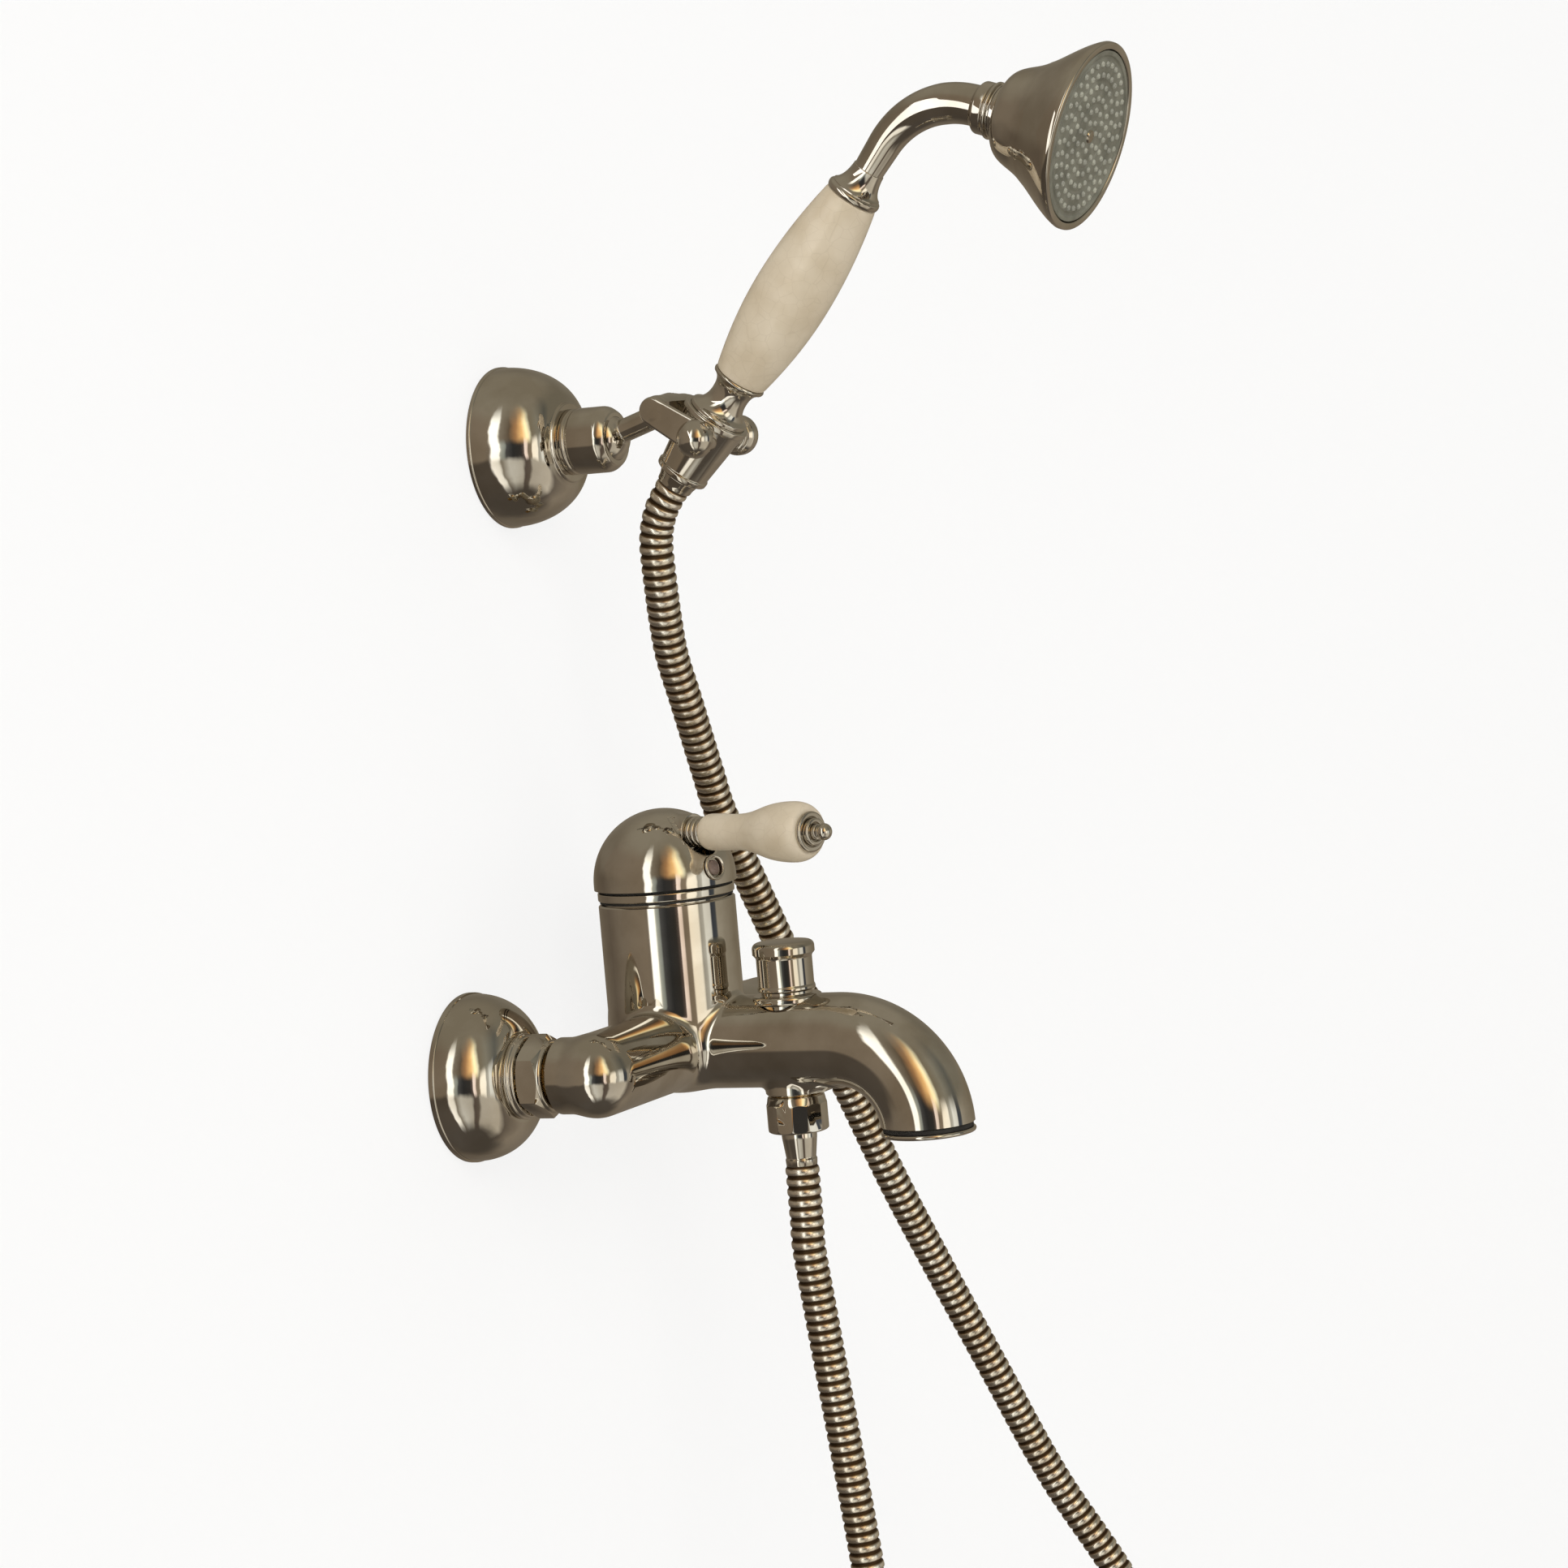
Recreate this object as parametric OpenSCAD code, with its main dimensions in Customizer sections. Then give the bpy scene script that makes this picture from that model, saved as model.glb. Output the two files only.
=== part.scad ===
// Wall-mounted single-lever bath and shower mixer with a telephone-style hand shower.
// +Z is up, the finished wall is the plane y = 0 and the mixer stands out towards -Y.
// The origin lies on the wall, midway between the two inlets. Millimetres throughout.

/* [Wall fixing] */
// Distance between the two inlets
inlet_spacing = 150; // [140:1:170]
// Drop of the wall thread below its mixer inlet
union_offset = 7; // [4:0.5:8]
// Radius of the G 1/2 thread that enters the wall
wall_thread_r = 10.48; // [9:0.01:11]
// Length of the thread that enters the wall
wall_thread_len = 18; // [12:1:30]
// Radius of the G 3/4 thread at the mixer end of a union
union_thread_r = 13.05; // [12:0.05:14]
// Distance across the flats of a union nut
union_nut_af = 29.5; // [28.5:0.5:34]
// Base radius of a mixer escutcheon
escutcheon_r = 34; // [30:0.5:40]
// Depth of a mixer escutcheon
escutcheon_depth = 28; // [24:0.5:29]
// Wall of the pressed brass covers
sheet = 1.5; // [1:0.1:2]

/* [Mixer body] */
// Radius of the side arms
arm_r = 17; // [15:0.5:18]
// Distance from the wall to the axis of the cartridge housing
housing_reach = 55.5; // [52:0.5:60]
// Radius of the cartridge housing
housing_r = 28; // [26:0.5:30]
// Height of the top of the cartridge housing
housing_top = 60.3; // [56:0.1:66]
// Height of the spout axis
spout_z = 1; // [0:0.5:3]
// Radius of the spout
spout_r = 19; // [17:0.5:21]
// Radius of the bend at the spout's end
spout_bend_r = 36; // [32:0.5:42]
// Distance from the wall to the outlet's axis
outlet_reach = 164.3; // [158:0.1:180]
// Radius of the water channel in the spout
channel_r = 9; // [7:0.5:11]
// Radius of the aerator's seat
aerator_r = 14; // [12:0.5:15]

/* [Cartridge and lever] */
// Radius of the ceramic cartridge
cartridge_r = 20; // [17.5:0.5:20.5]
// Height of the trim ring
trim_h = 4.9; // [4:0.1:8]
// Outer radius of the lever's dome
dome_r = 29.2; // [28.8:0.1:32]
// Turn of the stored lever from straight out, towards the hot side
lever_turn = 17; // [0:1:30]
// Height of the lever's axis above the dome's lower edge
lever_rise = 21.4; // [18:0.1:23]
// Length of the ceramic lever
lever_len = 56; // [45:1:75]
// Radius of the ceramic lever at the dome
lever_root_r = 7.5; // [6.5:0.1:9]
// Largest radius of the ceramic lever
lever_end_r = 12.2; // [10:0.1:14]

/* [Diverter and hose outlet] */
// Distance from the wall to the diverter's axis
diverter_reach = 106.5; // [102:0.5:112]
// Radius of the diverter's base ring
diverter_ring_r = 13; // [11.5:0.1:14]
// Radius of the diverter knob's cap
diverter_knob_r = 12.7; // [11:0.1:14]
// Height of the diverter knob
diverter_knob_h = 20; // [16:0.5:26]
// Lift of the diverter knob
diverter_lift = 7; // [5:0.5:8]
// Radius of the G 1/2 hose threads
hose_thread_r = 10.3; // [9.5:0.05:10.5]
// Outer radius of the metal hose
hose_r = 7; // [6:0.5:7.5]

/* [Handset bracket] */
// Height of the bracket above the inlets
bracket_z = 249; // [200:1:320]
// Base radius of the bracket escutcheon
bracket_r = 32.75; // [29:0.25:38]
// Depth of the bracket escutcheon
bracket_depth = 31; // [26:0.5:36]
// Radius of the swivel collar
collar_r = 13.5; // [12.5:0.1:15]
// Radius of the swivel ball
ball_r = 10.5; // [9.5:0.1:11.5]
// Distance from the wall to the centre of the swivel ball
ball_reach = 46; // [42:0.5:52]
// Radius of the arm's rod
rod_r = 4.75; // [4:0.05:5]
// Length of the arm from the ball to the yoke
rod_len = 32.5; // [28:0.5:45]
// Rise of the arm above the horizontal
rod_rise = 17; // [10:1:18]
// Distance between the two screws of the wall plate
plate_screw_gap = 36; // [30:1:42]

/* [Hand shower] */
// Tilt of the stored handset above the horizontal
handset_tilt = 50; // [46:1:56]
// Length of the cradle's cup
cup_len = 29; // [25:0.5:34]
// Wall of the cradle's cup
cup_wall = 1.3; // [1:0.1:1.6]
// Length of the ceramic grip
grip_len = 87; // [70:1:110]
// Radius of the ceramic grip's ends
grip_end_r = 10.8; // [9.5:0.1:12]
// Largest radius of the ceramic grip
grip_mid_r = 15.7; // [13:0.1:18]
// Bend radius of the handset's neck
neck_bend_r = 36; // [30:0.5:45]
// Radius of the neck at the grip
neck_r = 6.2; // [5.8:0.1:7.5]
// Drop of the shower head below the horizontal
head_drop = 20; // [10:1:30]
// Radius of the shower head's rim
head_r = 36.8; // [32:0.2:45]
// Depth of the shower head's bell
head_depth = 39.5; // [34:0.5:48]

/* [Hidden] */
$fn = 96;
running = 0.06;
slip = 0.2;
seam = 0.01;
thread_gap = 0.15;
sides = [-1, 1];

// Chrome, ceramic, rubber, brass and plastic, as the eye meets them.
chrome = "silver";
ceramic = "wheat";
rubber = "dimgray";
brass = "goldenrod";
plastic = "whitesmoke";
disc_white = "ivory";

// ---- helpers ---------------------------------------------------------------

// Points of a cubic Bezier curve through its two end points.
function bezier(a, b, c, d, steps = 10) =
    [for (i = [0 : steps]) let (t = i / steps, u = 1 - t)
        u * u * u * a + 3 * u * u * t * b + 3 * u * t * t * c + t * t * t * d];

// A quarter ellipse from [base, 0] at the wall to [front, depth].
function cap_curve(base, front, depth, steps = 14) =
    [for (i = [0 : steps]) let (a = 90 * i / steps)
        [front + (base - front) * cos(a), depth * sin(a)]];

function reversed(list) = [for (i = [len(list) - 1 : -1 : 0]) list[i]];

// Stands children on the wall at x, z, with their +Z pointing out of the wall.
module outward(x, z, reach = 0) {
    translate([x, -reach, z]) rotate([90, 0, 0]) children();
}

// Turns children's +Z to a direction in the plane x = 0 that rises by angle above straight out.
module rising(reach, z, angle) {
    translate([0, -reach, z]) rotate([90 - angle, 0, 0]) children();
}

module ring(outer, inner, low, high) {
    translate([0, 0, low]) difference() {
        cylinder(r = outer, h = high - low);
        translate([0, 0, -1]) cylinder(r = inner, h = high - low + 2);
    }
}

module revolved(points) {
    rotate_extrude() polygon(points);
}

// A solid tube swept along points, with one radius per ring. It never runs along guide.
function along(p, i) = let (n = len(p) - 1, a = p[max(i - 1, 0)], b = p[min(i + 1, n)]) (b - a) / norm(b - a);
function ring_side(t, guide) = let (s = cross(t, guide)) s / norm(s);

module swept(p, radii, count, guide) {
    n = len(p);
    points = [for (i = [0 : n - 1]) let (t = along(p, i), s = ring_side(t, guide), u = cross(s, t))
        for (k = [0 : count - 1]) let (a = 360 * k / count) p[i] + radii[i] * (cos(a) * s + sin(a) * u)];
    skin = [for (i = [0 : n - 2]) for (k = [0 : count - 1])
        [i * count + k, i * count + (k + 1) % count, (i + 1) * count + (k + 1) % count, (i + 1) * count + k]];
    first = [for (k = [count - 1 : -1 : 0]) k];
    last = [for (k = [0 : count - 1]) (n - 1) * count + k];
    polyhedron(points, concat(skin, [first], [last]), convexity = 6);
}

// ---- derived sizes ---------------------------------------------------------

inlet_x = inlet_spacing / 2;
seal_t = 2;
arm_reach = housing_reach + 2;
union_reach = arm_reach - arm_r - 6.5;
sleeve_flange_t = 2;
sleeve_flange_r = union_thread_r - 0.65;
sleeve_r = union_thread_r - 3;
sleeve_bore = 7.5;
sleeve_start = union_reach + seal_t;
nut_front = sleeve_start + sleeve_flange_t + 0.1;
nut_lip = 1.4;
nut_end = nut_front + nut_lip;
nut_start = escutcheon_depth + 0.4;
inlet_face = nut_end + 2;
sleeve_end = inlet_face + 8;
escutcheon_neck_r = union_thread_r + 3.2;
escutcheon_neck_h = 3.5;

arm_inlet_r = arm_r - 1.7;
body_bottom = spout_z - spout_r - 1;
cavity_floor = 14;
nut_thread_r = cartridge_r + 3;
cartridge_low = cavity_floor + 1;
cartridge_high = cartridge_low + 32;
cavity_step = cartridge_high - slip;
retainer_high = housing_top - 2;
// Hot, cold and mixed water ports in the cavity's floor: x, y from the housing's axis, radius.
ports = [[-10, housing_reach - arm_reach, 3.5], [10, housing_reach - arm_reach, 3.5], [0, -12, 4.5]];
pivot_z = 42;
turret_r = 10;
spindle_w = 8;

bend_start = outlet_reach - spout_bend_r;
outlet_z = spout_z - spout_bend_r;
outlet_r = spout_r - 0.3;
aerator_h = 9;
lip_h = 2.6;

trim_low = housing_top + 0.5;
trim_high = trim_low + trim_h;
dome_low = trim_high + 0.7;
dome_centre = dome_low + 2;
lever_z = dome_low + lever_rise;
collar_start = 17.5;
ceramic_start = 26.8;
ceramic_end = ceramic_start + lever_len;
lever_rod_r = 3;
ceramic_bore = lever_rod_r + 0.2;
plug_rise = 10;

bonnet_low = spout_z + spout_r - 6;
bonnet_high = spout_z + spout_r + 1.5;
bonnet_thread_r = diverter_ring_r - 2.5;
stem_r = 3;
knob_low = bonnet_high + 0.4;
knob_body_r = diverter_knob_r - 1.2;
valve_r = 7.6;
port_r = 6;

hose_boss_low = spout_z - spout_r - 2.5;
hose_boss_r = 12;
nipple_low = hose_boss_low - 10;
nipple_bore = 5.5;
lower_seal_low = nipple_low - seal_t;
lower_nut_high = hose_boss_low - 0.5;
lower_nut_r = hose_thread_r + 1.9;
lower_flange_low = lower_seal_low - 2;
lower_nut_low = lower_flange_low - 1.6;
lower_ferrule_low = lower_nut_low - 14;
ferrule_stem_r = 6;

hub_reach = ball_reach + rod_len * cos(rod_rise);
hub_z = bracket_z + rod_len * sin(rod_rise);
hub_r = 7.5;
pivot_reach = hub_reach + 19;
cradle_pivot_z = hub_z - 12.5;
pivot_below = 8;
pivot_front = 4;
pivot_r = 2.5;
cone_big = hose_thread_r + 1.9;
cone_small = hose_r + 1.7;
cup_in_big = cone_big + slip;
cup_in_small = cone_small + slip;
cup_big = cup_in_big + cup_wall;
cup_small = cup_in_small + cup_wall;
rim_band = 0.5;
boss_x = cup_big + rim_band - 0.2;
prong_in = boss_x + 0.4;
prong_t = 2.6;
prong_out = prong_in + prong_t;
slot_w = 2 * hose_r + 1;

// The handset's own frame: its origin is the middle of the cradle's rim.
out_t = cos(handset_tilt);
up_t = sin(handset_tilt);
rim_reach = pivot_reach + pivot_below * out_t - pivot_front * up_t;
rim_z = cradle_pivot_z + pivot_below * up_t + pivot_front * out_t;
spigot_len = 7;
cone_flange_low = -spigot_len - seal_t - 2;
upper_ferrule_low = -cup_len - 6;
flange_t = 2.2;
grip_low = 18;
grip_high = grip_low + grip_len;
tube_r = 5.4;
neck_start = grip_high + 24.8;
neck_turn = handset_tilt + head_drop;
neck_top_r = 8.1;
bend_reach = rim_reach + neck_start * out_t + neck_bend_r * up_t;
bend_z = rim_z + neck_start * up_t - neck_bend_r * out_t;
neck_tail = 10;
head_reach = bend_reach + neck_bend_r * sin(head_drop) + neck_tail * cos(head_drop);
head_z = bend_z + neck_bend_r * cos(head_drop) - neck_tail * sin(head_drop);
plate_t = 2;
plate_r = head_r - sheet - 0.4;

// The free hose, by hand: [x, reach, z] from the handset's ferrule to the mixer's outlet.
function hose_point(x, reach, z) = [x, -reach, z];
hose_top = [0, -(rim_reach + upper_ferrule_low * out_t), rim_z + upper_ferrule_low * up_t];
hose_end = [0, -diverter_reach, lower_ferrule_low];
hose_route = concat(
    [hose_top],
    [hose_top - 4 * [0, -out_t, up_t]],
    [for (p = [[0.2, 69.1, 219.1], [1, 66.1, 212.8], [2, 64.3, 206], [3.5, 63.4, 198.3], [7, 62, 186],
               [12, 60, 174], [19, 58, 158], [30, 57, 138], [47, 55, 108], [58, 55, 86], [87, 60, 33],
               [105, 64, -2], [123, 71, -40], [140, 80, -83], [157, 89, -122], [177, 104, -175],
               [196, 120, -228], [214, 144, -284], [224, 159, -340], [226, 166, -396], [219, 170, -452],
               [204, 170, -500], [179, 166, -542], [146, 159, -574], [110, 150, -586], [78, 141, -572],
               [54, 133, -534], [39, 126, -482], [30, 121, -422], [24, 117, -358], [19, 115, -290],
               [14, 114, -226], [4, 108, -120]])
        hose_point(p[0], p[1], p[2])],
    [hose_end + [0, 0, -36]],
    [hose_end + [0, 0, -24]],
    [hose_end + [0, 0, -12]],
    [hose_end]);

// Smooth curve through the route: Catmull-Rom pieces with a fixed number of rings each.
function smooth_at(a, b, c, d, t) =
    0.5 * ((2 * b) + (c - a) * t + (2 * a - 5 * b + 4 * c - d) * t * t + (3 * b - a - 3 * c + d) * t * t * t);
function with_ends(p) = let (n = len(p) - 1) concat([2 * p[0] - p[1]], p, [2 * p[n] - p[n - 1]]);
function smooth(p, steps) = let (n = len(p) - 1, q = with_ends(p)) concat(
    [for (i = [0 : n - 1]) for (k = [0 : steps - 1])
        smooth_at(q[i], q[i + 1], q[i + 2], q[i + 3], k / steps)],
    [p[n]]);

// ---- wall unions -----------------------------------------------------------

module escutcheon() {
    shoulder = escutcheon_depth - escutcheon_neck_h;
    outer = concat([[escutcheon_r, 0]], [for (p = cap_curve(escutcheon_r, escutcheon_neck_r, shoulder - sheet))
        [p[0], p[1] + sheet]], [[escutcheon_neck_r, escutcheon_depth]]);
    inner = cap_curve(escutcheon_r - sheet, escutcheon_neck_r - sheet, shoulder - sheet);
    hole = union_thread_r + thread_gap;
    color(chrome) revolved(concat(outer, [[hole, escutcheon_depth], [hole, shoulder - sheet]], reversed(inner)));
}

// Wall thread and mixer thread of a union lie on two axes, joined by a hexagonal middle.
module eccentric_union() {
    back_bore = 6.5;
    front_bore = 8.5;
    middle_low = 2;
    middle_high = 9;
    color(brass) difference() {
        union() {
            translate([0, -union_offset, -wall_thread_len]) cylinder(r = wall_thread_r, h = wall_thread_len);
            translate([0, -union_offset, -1]) cylinder(r = wall_thread_r - 0.8, h = middle_low + 2);
            translate([0, 0, middle_low]) cylinder(r = union_thread_r + 4, h = middle_high - middle_low, $fn = 6);
            translate([0, 0, middle_low]) cylinder(r = union_thread_r, h = union_reach - middle_low);
        }
        translate([0, -union_offset, -wall_thread_len - 1]) cylinder(r = back_bore, h = wall_thread_len + 7);
        translate([0, 0, 4]) cylinder(r = front_bore, h = union_reach);
    }
}

module union_nut() {
    ring_h = 2;
    color(chrome) difference() {
        union() {
            translate([0, 0, nut_start])
                cylinder(d = union_nut_af / cos(30), h = nut_end - ring_h - nut_start, $fn = 6);
            translate([0, 0, nut_start]) cylinder(d = union_nut_af - 0.8, h = nut_end - nut_start);
        }
        translate([0, 0, nut_start - 1]) cylinder(r = union_thread_r + thread_gap, h = nut_front - nut_start + 1);
        translate([0, 0, nut_start]) cylinder(r = sleeve_r + slip, h = nut_end);
    }
}

module inlet_sleeve() {
    color(brass) {
        ring(sleeve_flange_r, sleeve_bore, sleeve_start, sleeve_start + sleeve_flange_t);
        ring(sleeve_r, sleeve_bore, sleeve_start + sleeve_flange_t, sleeve_end);
    }
}

module union_seal() {
    color(rubber) ring(sleeve_flange_r, sleeve_bore, union_reach, sleeve_start);
}

// ---- body casting ----------------------------------------------------------

module side_arms() {
    translate([-inlet_x, -arm_reach, 0]) rotate([0, 90, 0]) cylinder(r = arm_r, h = inlet_spacing);
    for (s = sides) translate([s * inlet_x, -arm_reach, 0]) {
        sphere(r = arm_r);
        translate([0, arm_reach - inlet_face, 0]) rotate([90, 0, 0])
            cylinder(r = arm_inlet_r, h = arm_reach - inlet_face);
    }
}

// Housing with a bowl-shaped bottom, which the arms and the spout run into.
module housing() {
    bowl_top = 4;
    bowl = [for (i = [0 : 12]) let (a = 90 * i / 12)
        [housing_r * sin(a), bowl_top - (bowl_top - body_bottom) * cos(a)]];
    translate([0, -housing_reach, 0]) revolved(concat(bowl, [[housing_r, housing_top], [0, housing_top]]));
}

// The spout runs straight out, then turns down to the outlet in a quarter bend.
module spout() {
    quarter = spout_bend_r + spout_r + 1;
    translate([0, -housing_reach, spout_z]) rotate([90, 0, 0]) cylinder(r = spout_r, h = bend_start - housing_reach);
    translate([0, -bend_start, outlet_z]) intersection() {
        rotate([0, 90, 0]) rotate_extrude() translate([spout_bend_r, 0]) circle(r = spout_r);
        translate([-spout_r - 1, -quarter, 0]) cube([2 * spout_r + 2, quarter, quarter]);
    }
}

// Water channel, drilled in three straight runs that follow the bend and break into each other.
module channel() {
    run = spout_bend_r * tan(22.5);
    start = housing_reach - ports[2][1];
    past = channel_r * 0.35;
    translate([0, -start, spout_z]) rotate([90, 0, 0])
        cylinder(r = channel_r, h = bend_start + run + past - start);
    rising(bend_start + run, spout_z, -45) translate([0, 0, -past])
        cylinder(r = channel_r - 0.7, h = 2 * (run + past));
    translate([0, -outlet_reach, outlet_z - 1]) cylinder(r = channel_r - 0.3, h = run + past + 1);
}

module outlet_boss() {
    boss_len = 13;
    boss_h = 14;
    translate([0, -diverter_reach, hose_boss_low]) {
        cylinder(r = hose_boss_r, h = boss_h);
        translate([-hose_boss_r + 2, -boss_len, 2]) cube([2 * hose_boss_r - 4, boss_len, boss_h - 2]);
        translate([0, -boss_len, 2]) cylinder(r = hose_boss_r - 2, h = boss_h - 2);
    }
}

module mixer_body() {
    color(chrome) difference() {
        union() {
            side_arms();
            housing();
            spout();
            outlet_boss();
        }
        translate([0, -housing_reach, cavity_floor]) cylinder(r = cartridge_r + slip, h = housing_top);
        translate([0, -housing_reach, cavity_step]) cylinder(r = nut_thread_r + thread_gap, h = housing_top);
        for (s = sides) translate([s * inlet_x, 0, 0]) {
            translate([0, -sleeve_end, 0]) rotate([90, 0, 0])
                cylinder(r = sleeve_bore, h = arm_reach - sleeve_end);
            translate([0, -inlet_face + 1, 0]) rotate([90, 0, 0])
                cylinder(r = sleeve_r + seam, h = sleeve_end - inlet_face + 1);
        }
        for (s = sides) translate([s * 8, -arm_reach, 0]) rotate([0, s * 90, 0]) cylinder(r = 6, h = inlet_x - 8);
        for (p = ports) translate([p[0], p[1] - housing_reach, 0]) cylinder(r = p[2], h = cavity_floor + 1);
        channel();
        translate([0, -outlet_reach, outlet_z - 1]) cylinder(r = aerator_r + seam, h = aerator_h + 1);
        translate([0, -diverter_reach, spout_z]) cylinder(r = bonnet_thread_r + thread_gap, h = 3 * spout_r);
        translate([0, -diverter_reach, bonnet_low]) cylinder(r = diverter_ring_r + 0.05, h = 2 * spout_r);
        translate([0, -diverter_reach, hose_boss_low - 1]) cylinder(r = port_r, h = spout_r);
        translate([0, -diverter_reach, hose_boss_low - 1]) cylinder(r = 8 + running, h = 9);
    }
}

module aerator_housing() {
    translate([0, -outlet_reach, 0]) color(chrome) {
        ring(outlet_r + 0.6, aerator_r - 1.6, outlet_z - lip_h, outlet_z);
        ring(aerator_r, aerator_r - 1.6, outlet_z, outlet_z + aerator_h - 1);
    }
}

module aerator_insert() {
    insert_h = 6;
    translate([0, -outlet_reach, outlet_z]) color(plastic) {
        difference() {
            cylinder(r = aerator_r - 1.6 - seam, h = insert_h);
            for (ring_r = [4, 9]) for (i = [0 : ring_r * 1.5]) rotate([0, 0, 360 * i / (ring_r * 1.5)])
                translate([ring_r, 0, -1]) cylinder(r = 1.3, h = insert_h + 2, $fn = 6);
        }
    }
}

// ---- cartridge: everything on the housing's axis ---------------------------

module on_housing(turned = 0) {
    translate([0, -housing_reach, 0]) rotate([0, 0, -turned]) children();
}

module cartridge_seals() {
    color(rubber) on_housing() for (p = ports) translate([p[0], p[1], 0])
        ring(p[2] + 1.1, p[2] + 0.1, cavity_floor, cartridge_low);
}

module cartridge_base() {
    color(plastic) on_housing() difference() {
        translate([0, 0, cartridge_low]) cylinder(r = cartridge_r, h = 6);
        for (p = ports) translate([p[0], p[1], 0]) cylinder(r = p[2], h = 2 * cartridge_low);
    }
}

disc_low = cartridge_low + 6;
disc_mid = disc_low + 3;
disc_top = disc_mid + 4;
carrier_top = disc_top + 5;
disc_r = 15.5;
moving_r = 11.5;

module ceramic_disc_fixed() {
    color(disc_white) on_housing() difference() {
        translate([0, 0, disc_low]) cylinder(r = disc_r, h = disc_mid - disc_low);
        for (p = ports) translate([p[0] * 0.7, p[1] * 0.7, 0]) cylinder(r = 2.6, h = 2 * disc_mid);
    }
}

module ceramic_disc_moving() {
    recess_r = 8;
    color(disc_white) on_housing(lever_turn) difference() {
        translate([0, 0, disc_mid + seam]) cylinder(r = moving_r, h = disc_top - disc_mid - seam);
        translate([0, 0, disc_mid - 1]) cylinder(r = recess_r, h = 3);
    }
}

// The spindle's ball foot, below the pivot, drags this carrier and its disc to and fro.
foot_r = 2.6;
foot_z = disc_top + 3.2;

module disc_carrier() {
    color(plastic) on_housing(lever_turn) difference() {
        translate([0, 0, disc_top]) cylinder(r = moving_r, h = carrier_top - disc_top);
        translate([0, 0, foot_z - foot_r - 0.4]) cylinder(r = foot_r + 0.4, h = 20);
    }
}

shell_in = cartridge_r - 2.2;
shell_lid = cartridge_high - 3;

module cartridge_shell() {
    color(plastic) on_housing() {
        ring(cartridge_r, shell_in, disc_low, shell_lid);
        ring(cartridge_r, turret_r + running, shell_lid, cartridge_high);
    }
}

turret_low = carrier_top + 0.5;
turret_high = cartridge_high + 6;
turret_flange_r = 13;
turret_slot = 17;
pin_r = 1.5;

module lever_turret() {
    color(plastic) on_housing(lever_turn) difference() {
        union() {
            translate([0, 0, turret_low]) cylinder(r = turret_r, h = turret_high - turret_low);
            translate([0, 0, shell_lid - 2.1]) cylinder(r = turret_flange_r, h = 2);
        }
        translate([-spindle_w / 2 - 0.3, -turret_slot / 2, turret_low - 1])
            cube([spindle_w + 0.6, turret_slot, turret_high]);
        translate([-turret_r - 5, 0, pivot_z]) rotate([0, 90, 0]) cylinder(r = pin_r + seam, h = 2 * turret_r + 10);
    }
}

module pivot_pin() {
    color(brass) on_housing(lever_turn) translate([-turret_r + 0.6, 0, pivot_z])
        rotate([0, 90, 0]) cylinder(r = pin_r, h = 2 * turret_r - 1.2);
}

spindle_t = 5;
spindle_top = dome_low + 12;

module lever_spindle() {
    color(brass) on_housing(lever_turn) difference() {
        union() {
            translate([0, 0, foot_z]) sphere(r = foot_r);
            translate([0, 0, foot_z]) cylinder(r = 1.7, h = pivot_z - foot_z);
            translate([-spindle_w / 2, -spindle_t / 2, pivot_z - 3.5])
                cube([spindle_w, spindle_t, spindle_top - pivot_z + 3.5]);
        }
        translate([-spindle_w, 0, pivot_z]) rotate([0, 90, 0]) cylinder(r = pin_r + running, h = 2 * spindle_w);
    }
}

module cartridge_nut() {
    color(brass) on_housing() difference() {
        translate([0, 0, cartridge_high]) cylinder(r = nut_thread_r, h = retainer_high - cartridge_high);
        translate([0, 0, cartridge_high - 1])
            cylinder(r1 = turret_r + 3, r2 = turret_r + 9.5, h = retainer_high - cartridge_high + 2);
    }
}

// ---- lever -----------------------------------------------------------------

// Stands children on the lever's axis, with their +Z running out along the lever.
module on_lever(start = 0) {
    on_housing(lever_turn) translate([0, -start, lever_z]) rotate([90, 0, 0]) children();
}

module trim_ring() {
    color(chrome) on_housing() union() {
        ring(housing_r, nut_thread_r + 1.8, trim_low, trim_high);
        ring(housing_r - 1.3, nut_thread_r + 1.8, housing_top, trim_low);
    }
}

dome_in = dome_r - 0.8;
boss_r = 7.6;
boss_start = 4;
recess_r = boss_r + 0.9;
rod_start = 8;
rod_hole_r = lever_rod_r + seam;
plug_r = 4.6;
plug_seat = dome_r - 5;

// Stands children in the dome's wall, below the lever, pointing out along the dome's radius.
module on_plug() {
    on_housing(lever_turn) translate([0, 0, dome_centre]) rotate([90 - plug_rise, 0, 0])
        translate([0, 0, plug_seat]) children();
}

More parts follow.
